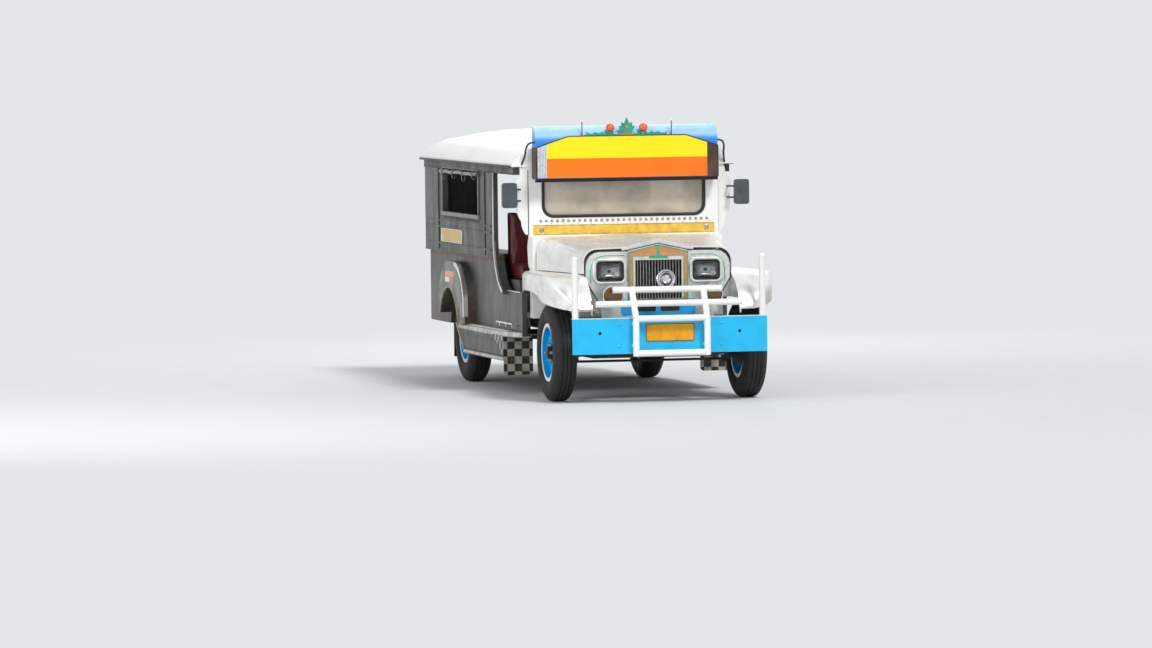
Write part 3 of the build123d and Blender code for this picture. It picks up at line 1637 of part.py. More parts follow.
with BuildPart() as front_seat_pads:
    seat_top_z = seat_box_top_z + seat_cushion_height
    block(
        (-seat_half_width, seat_half_width),
        (seat_front_y, seat_back_y - pad_gap),
        (seat_box_top_z, seat_top_z),
    )
    block(
        (-seat_half_width, seat_half_width),
        (seat_back_y, seat_rear_y),
        (seat_box_top_z, seat_back_top_z),
    )
    fillet(front_seat_pads.edges().filter_by(Axis.X).group_by(Axis.Z)[-1], radius=40)
save("front_seat_pads", front_seat_pads)

# Mirrors: an oblong head on a bracket from each side board.
mirror_x = 950
mirror_z = (1500, 1700)
mirror_half = 60
mirror_depth = 38
mirror_y = cowl_rear_y - wing_thickness - 75
mirror_arm_z = 1600
mirror_post_x = cowl_half_width + 75
mirror_post = 16
with BuildPart() as mirrors:
    block(
        (mirror_x - mirror_half, mirror_x + mirror_half),
        (mirror_y - mirror_depth, mirror_y),
        mirror_z,
    )
    fillet(mirrors.edges().filter_by(Axis.Y), radius=22)
    for drop in (-45, 45):
        block(
            (mirror_post_x, mirror_x),
            (mirror_y, mirror_y + 10),
            (mirror_arm_z + drop - 7, mirror_arm_z + drop + 7),
        )
        block(
            (mirror_post_x, mirror_post_x + mirror_post),
            (mirror_y, cowl_rear_y - wing_thickness),
            (mirror_arm_z + drop - 7, mirror_arm_z + drop + 7),
        )
    mirror(about=Plane.YZ)
save("mirrors", mirrors)

# Tail lamps: a round lamp on a short base on each side of the rear wall.
tail_lamp_x = 610
tail_lamp_z = 900
tail_lamp_radius = 60
tail_lamp_depth = 45
with BuildPart() as tail_lamps:
    for side in (-1, 1):
        rod(
            (side * tail_lamp_x, body_rear_y, tail_lamp_z),
            (side * tail_lamp_x, body_rear_y + tail_lamp_depth, tail_lamp_z),
            tail_lamp_radius,
        )
    fillet(tail_lamps.edges().filter_by(GeomType.CIRCLE).group_by(Axis.Y)[-1], radius=12)
save("tail_lamps", tail_lamps)
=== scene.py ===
import bpy
import bmesh
import random
from math import cos, pi, radians, sin
from mathutils import Matrix, Vector


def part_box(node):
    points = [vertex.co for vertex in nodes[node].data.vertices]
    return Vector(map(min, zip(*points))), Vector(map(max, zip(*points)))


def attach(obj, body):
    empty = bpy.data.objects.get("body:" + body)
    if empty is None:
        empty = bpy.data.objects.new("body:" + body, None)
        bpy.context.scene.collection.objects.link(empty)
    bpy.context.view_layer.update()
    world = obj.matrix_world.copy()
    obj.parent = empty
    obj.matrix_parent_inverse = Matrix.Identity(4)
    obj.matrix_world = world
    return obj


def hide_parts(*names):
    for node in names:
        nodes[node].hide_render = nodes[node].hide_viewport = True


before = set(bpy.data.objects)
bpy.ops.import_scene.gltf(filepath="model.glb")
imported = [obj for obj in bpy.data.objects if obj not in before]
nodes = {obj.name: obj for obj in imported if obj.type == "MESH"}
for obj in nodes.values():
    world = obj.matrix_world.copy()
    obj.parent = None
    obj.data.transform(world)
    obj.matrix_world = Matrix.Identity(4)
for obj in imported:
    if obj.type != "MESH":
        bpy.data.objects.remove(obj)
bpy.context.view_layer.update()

# Chassis and running gear
# Ladder frame, axles, leaf springs and steering rods of black enamelled steel, riveted and bolted.
# The engine is a bare iron casting; the exhaust is mild steel tube, hung under the frame.

def linear(code):
    """Linear colour with alpha from an sRGB hex code."""
    parts = [int(code[i:i + 2], 16) / 255 for i in (1, 3, 5)]
    return [c / 12.92 if c <= 0.04045 else ((c + 0.055) / 1.055) ** 2.4 for c in parts] + [1]


def add_node(tree, kind, inputs=None, **settings):
    """A shader node with its settings, and each input linked to a socket or set to a value."""
    new = tree.nodes.new(kind)
    for key, value in settings.items():
        setattr(new, key, value)
    for key, value in (inputs or {}).items():
        if isinstance(value, bpy.types.NodeSocket):
            tree.links.new(value, new.inputs[key])
        else:
            new.inputs[key].default_value = value
    return new


def shader_material(name):
    """An empty node material with its output and principled shader."""
    material = bpy.data.materials.new(name)
    material.use_nodes = True
    tree = material.node_tree
    tree.nodes.clear()
    shader = add_node(tree, "ShaderNodeBsdfPrincipled")
    add_node(tree, "ShaderNodeOutputMaterial", {"Surface": shader.outputs[0]})
    return material, tree, shader


full_height = 2.3            # metres that the height tints run over


def surface(name, tone, worn, patch=200, amount=0.5, rough=(0.3, 0.5), metal=0, grain=3,
            depth=0.1, coat=0, stretch=(1, 1, 1), heights=()):
    """A material of two tones in patches, with a finer grain in its roughness and bump.

    patch and grain are the real sizes of the patches and of the grain, and depth that of the
    bump, in millimetres. stretch draws the patches out along an axis. heights holds tints as
    (tone, ((height in metres, share), ...), how far the patches break the tint up).
    """
    material, tree, shader = shader_material(name)
    place = add_node(tree, "ShaderNodeTexCoord").outputs["Object"]
    drawn = add_node(tree, "ShaderNodeMapping", {"Vector": place, "Scale": stretch}).outputs[0]
    patches = add_node(tree, "ShaderNodeTexNoise", {
        "Vector": drawn, "Scale": 1000 / patch, "Detail": 6, "Roughness": 0.62})
    share = add_node(tree, "ShaderNodeMapRange", {
        "Value": patches.outputs[0], "From Min": 0.62 - amount * 0.4, "From Max": 0.78})
    mixed = add_node(tree, "ShaderNodeMix", {
        0: share.outputs[0], 6: linear(tone), 7: linear(worn)}, data_type="RGBA")
    tinted = mixed.outputs[2]
    if heights:
        level = add_node(tree, "ShaderNodeMapRange", {
            "Value": add_node(tree, "ShaderNodeSeparateXYZ", {0: place}).outputs[2],
            "From Max": full_height})
        broken = add_node(tree, "ShaderNodeMapRange", {
            "Value": patches.outputs[0], "From Min": 0.38, "From Max": 0.62, "To Max": 2})
    for tint, stops, breaks in heights:
        ramp = add_node(tree, "ShaderNodeValToRGB", {0: level.outputs[0]})
        marks = ramp.color_ramp.elements
        while len(marks) < len(stops):
            marks.new(1)
        for mark, (height, weight) in zip(marks, stops):
            mark.position = height / full_height
            mark.color = (weight / 3, weight / 3, weight / 3, 1)
        patchy = add_node(tree, "ShaderNodeMath", {
            0: broken.outputs[0], 1: 3 * breaks, 2: 3 * (1 - breaks)}, operation="MULTIPLY_ADD")
        weight = add_node(tree, "ShaderNodeMath", {
            0: ramp.outputs[0], 1: patchy.outputs[0]}, operation="MULTIPLY", use_clamp=True)
        tinted = add_node(tree, "ShaderNodeMix", {
            0: weight.outputs[0], 6: tinted, 7: linear(tint)}, data_type="RGBA").outputs[2]
    tree.links.new(tinted, shader.inputs["Base Color"])
    fine = add_node(tree, "ShaderNodeTexNoise", {
        "Vector": drawn, "Scale": 1000 / grain, "Detail": 3})
    wide = add_node(tree, "ShaderNodeMath", {0: fine.outputs[0], 1: patches.outputs[0]})
    gloss = add_node(tree, "ShaderNodeMapRange", {
        "Value": wide.outputs[0], "From Min": 0.75, "From Max": 1.25,
        "To Min": rough[0], "To Max": rough[1]})
    tree.links.new(gloss.outputs[0], shader.inputs["Roughness"])
    bump = add_node(tree, "ShaderNodeBump", {
        "Height": fine.outputs[0], "Distance": depth / 1000, "Strength": 0.6})
    tree.links.new(bump.outputs[0], shader.inputs["Normal"])
    shader.inputs["Metallic"].default_value = metal
    shader.inputs["Coat Weight"].default_value = coat
    shader.inputs["Coat Roughness"].default_value = 0.08
    return material


def dress(material, *names):
    """Gives CAD nodes a material without touching their meshes."""
    for name in names:
        for slot in nodes[name].material_slots:
            slot.link = "OBJECT"
            slot.material = material


# Enamelled steel under road dust: black with broad brownish, matt patches.
frame_paint = surface("frame_enamel_dusty", "#1b1b1b", "#5a5148", 120, 0.7, (0.5, 0.8), 0, 4, 0.2)
# Bare sand-cast iron: dark grey, coarse, with rust-brown patches.
cast_iron = surface("engine_casting", "#3b3b39", "#5d4a3a", 60, 0.6, (0.5, 0.8), 0.6, 2, 0.4)
# Mild steel tube browned by heat: brown with paler scale and a dull metal sheen.
hot_steel = surface("exhaust_browned", "#4a3b30", "#7a6a5c", 80, 0.6, (0.4, 0.7), 0.8, 3, 0.1)
# Brass fins painted black: a fine matt grain that swallows light.
core_black = surface("radiator_core", "#141414", "#37342f", 40, 0.5, (0.4, 0.7), 0.3, 1.5, 0.3)
dress(frame_paint, "chassis_frame", "front_axle", "rear_axle", "leaf_springs", "propshaft",
      "knuckle_left", "knuckle_right", "tie_rod", "fuel_tank", "rear_step")
dress(cast_iron, "engine_block")
dress(hot_steel, "exhaust")
dress(core_black, "radiator")

# Wheels
# Ribbed bias-ply tyres, moulded as one ring of rubber with zigzag grooves and a notched shoulder.
# The rims are pressed steel, a sky blue disc in a white flange, held by plated nuts under a
# black hub cap.

def piece(name, bm, material, body="body", bevel=0):
    """Turns a bmesh into a piece that rides on a body."""
    mesh = bpy.data.meshes.new(name)
    bmesh.ops.recalc_face_normals(bm, faces=bm.faces)
    bm.to_mesh(mesh)
    bm.free()
    made = bpy.data.objects.new(name, mesh)
    bpy.context.collection.objects.link(made)
    mesh.materials.append(material)
    mesh.shade_smooth()
    mesh.set_sharp_from_angle(angle=radians(38))
    if bevel:
        edge = made.modifiers.new("rounded", "BEVEL")
        edge.width = bevel
        edge.segments = 2
        edge.limit_method = "ANGLE"
        edge.harden_normals = True
    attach(made, body)
    return made


def add_turned(bm, profile, centre, along, steps):
    """A shape turned about an axis through centre; profile holds (distance along, radius)."""
    along = Vector(along).normalized()
    side = along.orthogonal().normalized()
    up = along.cross(side)
    rings = []
    for distance, radius in profile:
        middle = Vector(centre) + along * distance
        if radius < 1e-6:
            rings.append([bm.verts.new(middle)])
            continue
        rings.append([bm.verts.new(middle + radius * (cos(2 * pi * i / steps) * side
                                                      + sin(2 * pi * i / steps) * up))
                      for i in range(steps)])
    for one, two in zip(rings, rings[1:]):
        for i in range(steps):
            j = (i + 1) % steps
            if len(one) == 1:
                corners = [one[0], two[i], two[j]]
            elif len(two) == 1:
                corners = [one[i], two[0], one[j]]
            else:
                corners = [one[i], two[i], two[j], one[j]]
            bm.faces.new(corners)


def turned_piece(name, profile, centre, along, steps, material, body="body"):
    """One turned shape as a piece of its own."""
    bm = bmesh.new()
    add_turned(bm, profile, centre, along, steps)
    return piece(name, bm, material, body)


def tube(name, points, radius, material, body="body", closed=False, order=0):
    """A round bar or seal along a polyline, or along a smooth spline when order is given."""
    curve = bpy.data.curves.new(name, "CURVE")
    curve.dimensions = "3D"
    curve.bevel_depth = radius
    curve.bevel_resolution = 3
    curve.use_fill_caps = not closed
    spline = curve.splines.new("NURBS" if order else "POLY")
    spline.points.add(len(points) - 1)
    for target, point in zip(spline.points, points):
        target.co = (*point, 1)
    if order:
        spline.order_u = order
        spline.use_endpoint_u = not closed
    spline.use_cyclic_u = closed
    made = bpy.data.objects.new(name, curve)
    curve.materials.append(material)
    bpy.context.collection.objects.link(made)
    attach(made, body)
    return made


# Moulded rubber: near black, greyed by dust, with hardly any shine.
tyre_rubber = surface("tyre_rubber_dusty", "#101112", "#2d2b28", 90, 0.5, (0.6, 0.85), 0, 2, 0.2)
# Zinc-plated steel: pale grey metal, a little spotted.
zinc = surface("zinc_plated_steel", "#b9b9b6", "#77736b", 20, 0.5, (0.25, 0.45), 1, 1.5, 0.05)
wheel_names = ("front_left", "front_right", "rear_left", "rear_right")
tread_steps = 176            # even, so the zigzag closes
tyre_columns = [             # across, radius, zigzag, notch; in metres, from the middle out
    (0.0035, 0.3770, 0.003, 0), (0.0035, 0.3850, 0.003, 0), (0.0300, 0.3838, 0.003, 0),
    (0.0300, 0.3758, 0.003, 0), (0.0370, 0.3754, 0.003, 0), (0.0370, 0.3833, 0.003, 0),
    (0.0560, 0.3800, 0, 0), (0.0660, 0.3752, 0, 0.004), (0.0740, 0.3670, 0, 0.006),
    (0.0790, 0.3570, 0, 0.003), (0.0860, 0.3430, 0, 0), (0.0875, 0.3420, 0, 0),
    (0.0895, 0.3340, 0, 0), (0.0880, 0.3330, 0, 0), (0.0930, 0.3150, 0, 0),
    (0.0945, 0.2950, 0, 0), (0.0930, 0.2750, 0, 0), (0.0880, 0.2600, 0, 0),
    (0.0895, 0.2560, 0, 0), (0.0850, 0.2480, 0, 0), (0.0760, 0.2380, 0, 0),
    (0.0660, 0.2340, 0, 0), (0.0660, 0.2060, 0, 0),
]


def tyre_mesh(centre):
    """One tyre, as a grid round its axle."""
    bm = bmesh.new()
    row = [(-x, r, z, n) for x, r, z, n in reversed(tyre_columns)] + tyre_columns
    rings = []
    for step in range(tread_steps):
        turn = 2 * pi * step / tread_steps
        swing = 1 if step % 2 else -1
        rings.append([bm.verts.new((centre.x + x + swing * z,
                                    centre.y + (r - (n if step % 4 < 2 else 0)) * cos(turn),
                                    centre.z + (r - (n if step % 4 < 2 else 0)) * sin(turn)))
                      for x, r, z, n in row])
    for step, ring in enumerate(rings):
        following = rings[(step + 1) % tread_steps]
        for i in range(len(row)):
            j = (i + 1) % len(row)
            bm.faces.new([ring[i], following[i], following[j], ring[j]])
    return bm


rim_dust = 45.4545           # millimetres


def rim_material(centre):
    """Sprayed enamel in rings about the axle, black, blue and white, dulled by brake dust."""
    material, tree, shader = shader_material(f"rim_enamel_{centre.x:.2f}_{centre.y:.1f}")
    place = add_node(tree, "ShaderNodeTexCoord").outputs["Object"]
    flat = add_node(tree, "ShaderNodeVectorMath", {
        0: place, 1: (centre.x, centre.y, centre.z)}, operation="SUBTRACT")
    across = add_node(tree, "ShaderNodeVectorMath", {
        0: flat.outputs[0], 1: (0, 1, 1)}, operation="MULTIPLY")
    reach = add_node(tree, "ShaderNodeVectorMath", {0: across.outputs[0]}, operation="LENGTH")
    rings = add_node(tree, "ShaderNodeValToRGB", {0: reach.outputs["Value"]})
    ramp = rings.color_ramp
    ramp.interpolation = "CONSTANT"
    ramp.elements[0].color = linear("#191a1b")
    ramp.elements[1].position = 0.082
    ramp.elements[1].color = linear("#00a6e4")
    ramp.elements.new(0.200).color = linear("#f0efeb")
    dust = add_node(tree, "ShaderNodeTexNoise", {"Vector": place, "Scale": 1000 / rim_dust, "Detail": 6})
    share = add_node(tree, "ShaderNodeMapRange", {
        "Value": dust.outputs[0], "From Min": 0.5, "From Max": 0.85, "To Max": 0.35})
    mixed = add_node(tree, "ShaderNodeMix", {
        0: share.outputs[0], 6: rings.outputs[0], 7: linear("#5b554c")}, data_type="RGBA")
    tree.links.new(mixed.outputs[2], shader.inputs["Base Color"])
    gloss = add_node(tree, "ShaderNodeMapRange", {
        "Value": dust.outputs[0], "To Min": 0.45, "To Max": 0.7})
    tree.links.new(gloss.outputs[0], shader.inputs["Roughness"])
    shader.inputs["Specular IOR Level"].default_value = 0.12
    return material


# Pressed steel in black enamel: smooth with a soft glint.
hub_black = surface("hub_enamel_black", "#17181a", "#33302b", 40, 0.5, (0.35, 0.55), 0, 2, 0.05)
nut_count = 6
nut_circle, nut_seat = 0.068, 0.0585        # radius, and how far out the disc's face lies
cap_seat = 0.074
valve_seat = (0.018, 0.176)                 # out from the wheel's middle, up from its axle
for wheel in wheel_names:
    low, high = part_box("tyre_" + wheel)
    centre = (Vector(low) + Vector(high)) / 2
    out = 1 if centre.x > 0 else -1
    tyre = piece("road_tyre_" + wheel, tyre_mesh(centre), tyre_rubber, "wheel_" + wheel)
    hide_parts("tyre_" + wheel)
    dress(rim_material(centre), "rim_" + wheel)
    nuts = bmesh.new()
    face = centre + Vector((out * nut_seat, 0, 0))
    for i in range(nut_count):
        turn = 2 * pi * i / nut_count
        spot = face + nut_circle * Vector((0, cos(turn), sin(turn)))
        add_turned(nuts, [(-0.02, 0.0125), (0.008, 0.0125), (0.013, 0.009), (0.013, 0.005),
                          (0.02, 0.005), (0.02, 0)], spot, (out, 0, 0), 6)
    cap = centre + Vector((out * cap_seat, 0, 0))
    add_turned(nuts, [(0.006, 0.013), (0.020, 0.013), (0.024, 0.009), (0.024, 0)], cap, (out, 0, 0), 6)
    piece("wheel_nuts_" + wheel, nuts, zinc, "wheel_" + wheel)
    turned_piece("hub_cap_" + wheel, [(-0.002, 0.041), (0.002, 0.041), (0.006, 0.036), (0.010, 0.024),
                                      (0.012, 0)], cap, (out, 0, 0), 32, hub_black, "wheel_" + wheel)
    valve = centre + Vector((out * valve_seat[0], 0, valve_seat[1]))
    tube("valve_" + wheel, [valve, valve + Vector((out * 0.050, 0, 0)),
                            valve + Vector((out * 0.072, 0, -0.012))], 0.0035, tyre_rubber,
         "wheel_" + wheel)

# Bumper and guard
# A rolled steel channel in sky blue enamel with a blank number plate, behind a guard of white
# steel tube, and a white post at each end. All of it is bolted through the bumper's face.

# White enamel, sprayed: even and glossy, faintly yellowed in wide patches.
white_gloss = surface("white_enamel", "#f5f5f2", "#e2e0da", 220, 0.3, (0.2, 0.4), 0, 4, 0.05, 0.3)
bumper_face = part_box("front_bumper")[0][1]
bumper_top = 0.672
# Sky blue enamel, brushed: glossy and slightly uneven; the posts above are white.
bumper_blue = surface("bumper_enamel_blue", "#08bdf2", "#0ba6d8", 170, 0.4, (0.2, 0.4), 0, 3,
                      0.08, 0.3, heights=[("#efefec", ((bumper_top, 0), (bumper_top + 0.004, 3)), 0)])
dress(bumper_blue, "front_bumper")
dress(white_gloss, "guard")
# Pressed aluminium in amber enamel: even, with a soft shine.
plate_yellow = surface("plate_enamel_blank", "#eda606", "#cf8a08", 60, 0.5, (0.35, 0.5), 0, 2, 0.1)
# Blackened steel: dark and half dull, for edges and small fittings.
dark_metal = surface("dark_steel", "#2a2a2a", "#4c463f", 30, 0.5, (0.4, 0.6), 0.8, 2, 0.1)
plate_centre, plate_half = (0, 0.553), (0.195, 0.07)
bolt_across, bolt_heights = 0.41, (0.45, 0.62)
screw_across, screw_z = 0.178, 0.603
post_across, post_depth, post_top = 0.75, 0.0275, 1.135


def add_plate(bm, outline, place, thickness):
    """A flat plate: outline holds points in the plate, place turns them into (x, y, z)."""
    front = [bm.verts.new(place(a, b, 0)) for a, b in outline]
    back = [bm.verts.new(place(a, b, thickness)) for a, b in outline]
    bm.faces.new(front)
    bm.faces.new(list(reversed(back)))
    for i in range(len(outline)):
        j = (i + 1) % len(outline)
        bm.faces.new([front[i], back[i], back[j], front[j]])


def plate_piece(name, outline, place, thickness, material, bevel=0):
    """One flat plate as a piece of its own."""
    bm = bmesh.new()
    add_plate(bm, outline, place, thickness)
    return piece(name, bm, material, bevel=bevel)


def rounded(half_a, half_b, radius, steps=6, centre=(0, 0)):
    """Outline of a rectangle with round corners."""
    points = []
    for quarter, (sa, sb) in enumerate(((1, 1), (-1, 1), (-1, -1), (1, -1))):
        for i in range(steps + 1):
            turn = pi / 2 * (quarter + i / steps)
            points.append((centre[0] + sa * (half_a - radius) + radius * cos(turn),
                           centre[1] + sb * (half_b - radius) + radius * sin(turn)))
    return points


def facing(y):
    """Places a plate's outline across X and Z, its thickness running to the rear from y."""
    return lambda a, b, depth: (a, y + depth, b)


plate_piece("number_plate", rounded(*plate_half, 0.012, centre=plate_centre),
            facing(bumper_face - 0.006), 0.0058, plate_yellow, bevel=0.0012)
rim_outline = [(x, bumper_face - 0.0065, z)
               for x, z in rounded(plate_half[0] - 0.004, plate_half[1] - 0.004, 0.01,
                                   centre=plate_centre)]
tube("plate_edge", rim_outline, 0.0022, dark_metal, closed=True)
bm = bmesh.new()
for x, z in [(x, z) for x in (-bolt_across, bolt_across) for z in bolt_heights]:
    add_turned(bm, [(0, 0.011), (0.003, 0.011), (0.0065, 0.007), (0.0075, 0)],
               (x, bumper_face, z), (0, -1, 0), 16)
piece("bumper_bolts", bm, bumper_blue)
bm = bmesh.new()
for x in (-screw_across, screw_across):
    add_turned(bm, [(0, 0.007), (0.002, 0.007), (0.004, 0.004), (0.0045, 0)],
               (x, bumper_face - 0.006, screw_z), (0, -1, 0), 12)
piece("plate_screws_heads", bm, zinc)
bm = bmesh.new()
for x in (-post_across, post_across):
    add_turned(bm, [(-0.004, 0.0262), (0.004, 0.0262), (0.012, 0.022), (0.018, 0.013), (0.021, 0)],
               (x, bumper_face + post_depth, post_top), (0, 0, 1), 32)
piece("post_caps", bm, white_gloss)

# Face and grille
# The face is hand-beaten stainless sheet, folded round its edge. The grille's steel slats stand in
# a pale inner frame and an orange enamelled surround, lined in teal by hand.

# Hand-beaten stainless sheet: bright, with soft dimples about 9 mm wide.
face_steel = surface("stainless_sheet_beaten", "#e9e9e4", "#b7bab4", 90, 0.5, (0.28, 0.45), 0.7, 9, 1.2)
# Teal enamel, lined by hand: thin, even and half glossy.
teal_line = surface("teal_enamel_line", "#2fb391", "#1f8a73", 30, 0.4, (0.3, 0.5), 0, 2, 0.05)
# Beaten sheet in orange enamel: shallow dimples and darker, worn patches.
grille_orange = surface("orange_enamel_beaten", "#d9995e", "#bd7540", 40, 0.6, (0.35, 0.5), 0.2,
                        7, 0.8)
# Mild steel slats: dull grey with brownish dirt between them.
slat_grey = surface("slat_steel_dark", "#9a9792", "#56524e", 30, 0.5, (0.3, 0.5), 0.5, 2, 0.1)
# Aluminised glass: a greyish mirror with a slightly wavy face.
lamp_mirror = surface("reflector_aluminised", "#a7a9aa", "#55575a", 30, 0.5, (0.08, 0.2), 1, 4, 0.3)
# Chrome plate: a near perfect mirror, faintly clouded.
chrome = surface("chrome_plate", "#e8e8ea", "#bdbdc1", 90, 0.4, (0.04, 0.14), 1, 4, 0.02)
# Black enamel on steel rod: glossy where no dust lies.
black_enamel = surface("black_enamel", "#1c1c1d", "#3d3a36", 60, 0.5, (0.25, 0.45), 0, 2, 0.05, 0.2)
# Extruded rubber: matt black.
rubber_black = surface("seal_rubber", "#131313", "#2b2a29", 60, 0.5, (0.5, 0.7), 0, 2, 0.1)
face_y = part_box("face_panel")[0][1]
dress(face_steel, "face_panel")
dress(slat_grey, "grille")
grille_low, grille_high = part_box("grille")
surround_y = grille_low[1]
outer_half, open_half = grille_high[0], 0.186
open_low, open_high = 0.804, 1.106
shoulder_z, peak_z = 1.168, 1.224
band_half, band_low = 0.205, 1.139
bar_half, cross_half = 0.013, 0.075
bm = bmesh.new()
for side in (-1, 1):
    add_plate(bm, [(side * x, z) for x, z in (
        (band_half, open_low), (outer_half, open_low), (outer_half, shoulder_z),
        (bar_half, peak_z - 0.005), (bar_half, band_low), (band_half, band_low))],
              facing(surround_y - 0.003), 0.004)
piece("grille_enamel", bm, grille_orange, bevel=0.001)
bm = bmesh.new()
for side in (-1, 1):
    add_plate(bm, [(side * x, z) for x, z in (
        (open_half, open_low), (band_half, open_low), (band_half, band_low), (0, band_low), (0, open_high),
        (open_half, open_high))], facing(surround_y - 0.002), 0.003)
piece("grille_inner_frame", bm, face_steel)
bm = bmesh.new()
add_plate(bm, [(-bar_half, band_low), (bar_half, band_low), (bar_half, peak_z - 0.006),
               (0, peak_z - 0.003), (-bar_half, peak_z - 0.006)], facing(surround_y - 0.004), 0.003)
add_plate(bm, [(-cross_half, open_high + 0.010), (cross_half, open_high + 0.010), (cross_half, band_low),
               (-cross_half, band_low)], facing(surround_y - 0.0045), 0.003)
piece("grille_middle_bar", bm, teal_line, bevel=0.001)
for name, points in (
        ("grille_edge_outer", [(-outer_half, open_low - 0.01), (-outer_half, shoulder_z), (0, peak_z),
                               (outer_half, shoulder_z), (outer_half, open_low - 0.01)]),
        ("grille_edge_inner", [(-band_half, open_low), (-band_half, band_low),
                               (band_half, band_low), (band_half, open_low)])):
    tube(name, [(x, surround_y - 0.003, z) for x, z in points], 0.0045, teal_line)

# Lamps
# Two oblong sealed lamps in pressed stainless bezels and rubber gaskets, two amber lamps in black
# cups with chromed rings, and a chromed round lamp on a stalk before the grille.
sides = (("left", 1), ("right", -1))
lamp_x, lamp_z = 0.387, 1.022
bezel_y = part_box("headlamps")[0][1]
# Pressed glass: clear, with upright flutes that break up what lies behind.
flute_width = 9.8175         # millimetres; a wave texture of scale 1 repeats every pi / 10 metres
lens_glass, tree, shader = shader_material("headlamp_lens_fluted")
flutes = add_node(tree, "ShaderNodeTexWave", {
    "Vector": add_node(tree, "ShaderNodeTexCoord").outputs["Object"], "Scale": 100 * pi / flute_width,
    "Distortion": 0.3}, bands_direction="X")
relief = add_node(tree, "ShaderNodeBump", {
    "Height": flutes.outputs[0], "Distance": 0.002, "Strength": 0.5})
tree.links.new(relief.outputs[0], shader.inputs["Normal"])
shader.inputs["Base Color"].default_value = linear("#f4f6f6")
shader.inputs["Roughness"].default_value = 0.03
shader.inputs["Transmission Weight"].default_value = 1


def add_bowl(bm, centre, y, rings, steps=5, filled=True):
    """Nested round-cornered outlines: rings hold (half width, half height, corner, depth)."""
    loops = [[bm.verts.new((x, y + depth, z)) for x, z in rounded(a, b, r, steps, centre)]
             for a, b, r, depth in rings]
    for one, two in zip(loops, loops[1:]):
        for i in range(len(one)):
            j = (i + 1) % len(one)
            bm.faces.new([one[i], two[i], two[j], one[j]])
    if filled:
        bm.faces.new(loops[-1])


for side_name, side in sides:
    centre = (side * lamp_x, lamp_z)
    bm = bmesh.new()
    add_bowl(bm, centre, bezel_y, [(0.136, 0.098, 0.048, 0.018), (0.136, 0.098, 0.048, 0.004),
                                   (0.131, 0.093, 0.045, 0), (0.112, 0.081, 0.034, 0.002),
                                   (0.108, 0.077, 0.03, 0.012), (0.104, 0.073, 0.028, 0.03)], 6, False)
    bezel = piece("lamp_bezel_" + side_name, bm, face_steel)
    tube("lamp_gasket_" + side_name, [(x, bezel_y + 0.008, z) for x, z in
                                      rounded(0.106, 0.075, 0.028, 6, centre)], 0.007,
         rubber_black, closed=True)
    bm = bmesh.new()
    add_bowl(bm, centre, bezel_y, [(0.104, 0.073, 0.026, 0.016), (0.092, 0.064, 0.03, 0.032),
                                   (0.066, 0.05, 0.034, 0.046), (0.032, 0.028, 0.02, 0.052),
                                   (0.014, 0.014, 0.01, 0.054)])
    piece("lamp_reflector_" + side_name, bm, lamp_mirror)
    bm = bmesh.new()
    add_bowl(bm, centre, bezel_y, [(0.103, 0.072, 0.025, 0.014), (0.103, 0.072, 0.025, 0.011),
                                   (0.09, 0.06, 0.022, 0.006), (0.05, 0.035, 0.015, 0.003)])
    piece("lamp_lens_" + side_name, bm, lens_glass)
    turned_piece("lamp_shield_" + side_name, [(0, 0), (0, 0.013), (0.004, 0.013), (0.022, 0.009), (0.03, 0)],
                 (centre[0], bezel_y + 0.0550, lamp_z), (0, -1, 0), 20, dark_metal)
    if side == 1:
        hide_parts("headlamps")

amber_low, amber_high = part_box("amber_lamps")
amber_z = (amber_low[2] + amber_high[2]) / 2
amber_radius = 0.084
amber_x = amber_high[0] - amber_radius
# Moulded amber lens: dark from the front, with ribs that catch the light.
amber_glass = surface("amber_lens_ribbed", "#74520a", "#1c1203", 9, 0.7, (0.08, 0.2), 0, 5, 0.8, 0.5,
                      (1, 1, 0.12))
# Spun steel cup in black enamel, scuffed brown.
housing_black = surface("lamp_housing_enamel", "#1d1b18", "#4a4238", 50, 0.5, (0.3, 0.5), 0.2, 2, 0.1)
for side_name, side in sides:
    spot = (side * amber_x, amber_low[1], amber_z)
    bm = bmesh.new()
    add_turned(bm, [(0.062, 0), (0.062, 0.05), (0.05, 0.074), (0.018, 0.083), (0.004, 0.084),
                    (0.0, 0.081), (0.002, 0.076), (0.008, 0.074)], spot, (0, 1, 0), 48)
    add_turned(bm, [(0.06, 0.016), (amber_high[1] - amber_low[1], 0.016)], spot, (0, 1, 0), 20)
    shell = piece("amber_housing_" + side_name, bm, housing_black)
    turned_piece("amber_lens_" + side_name, [(0.009, 0.075), (0.004, 0.07), (0.001, 0.05), (0, 0.02), (0, 0)],
                 spot, (0, 1, 0), 48, amber_glass)
    turned_piece("amber_ring_" + side_name, [(0.012, 0.0842), (0.002, 0.0845), (-0.002, 0.081),
                                             (-0.001, 0.0755), (0.005, 0.0735)],
                 spot, (0, 1, 0), 48, chrome)
    if side == 1:
        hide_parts("amber_lamps")

round_low, round_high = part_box("round_lamp")
round_radius = 0.075
round_centre = Vector((0, round_low[1], round_high[2] - round_radius))


def add_block(bm, low, high):
    """A box between two corners."""
    corners = [bm.verts.new((x, y, z)) for x in (low[0], high[0]) for y in (low[1], high[1])
               for z in (low[2], high[2])]
    for quad in ((0, 1, 3, 2), (4, 6, 7, 5), (0, 4, 5, 1), (2, 3, 7, 6), (0, 2, 6, 4), (1, 5, 7, 3)):
        bm.faces.new([corners[i] for i in quad])


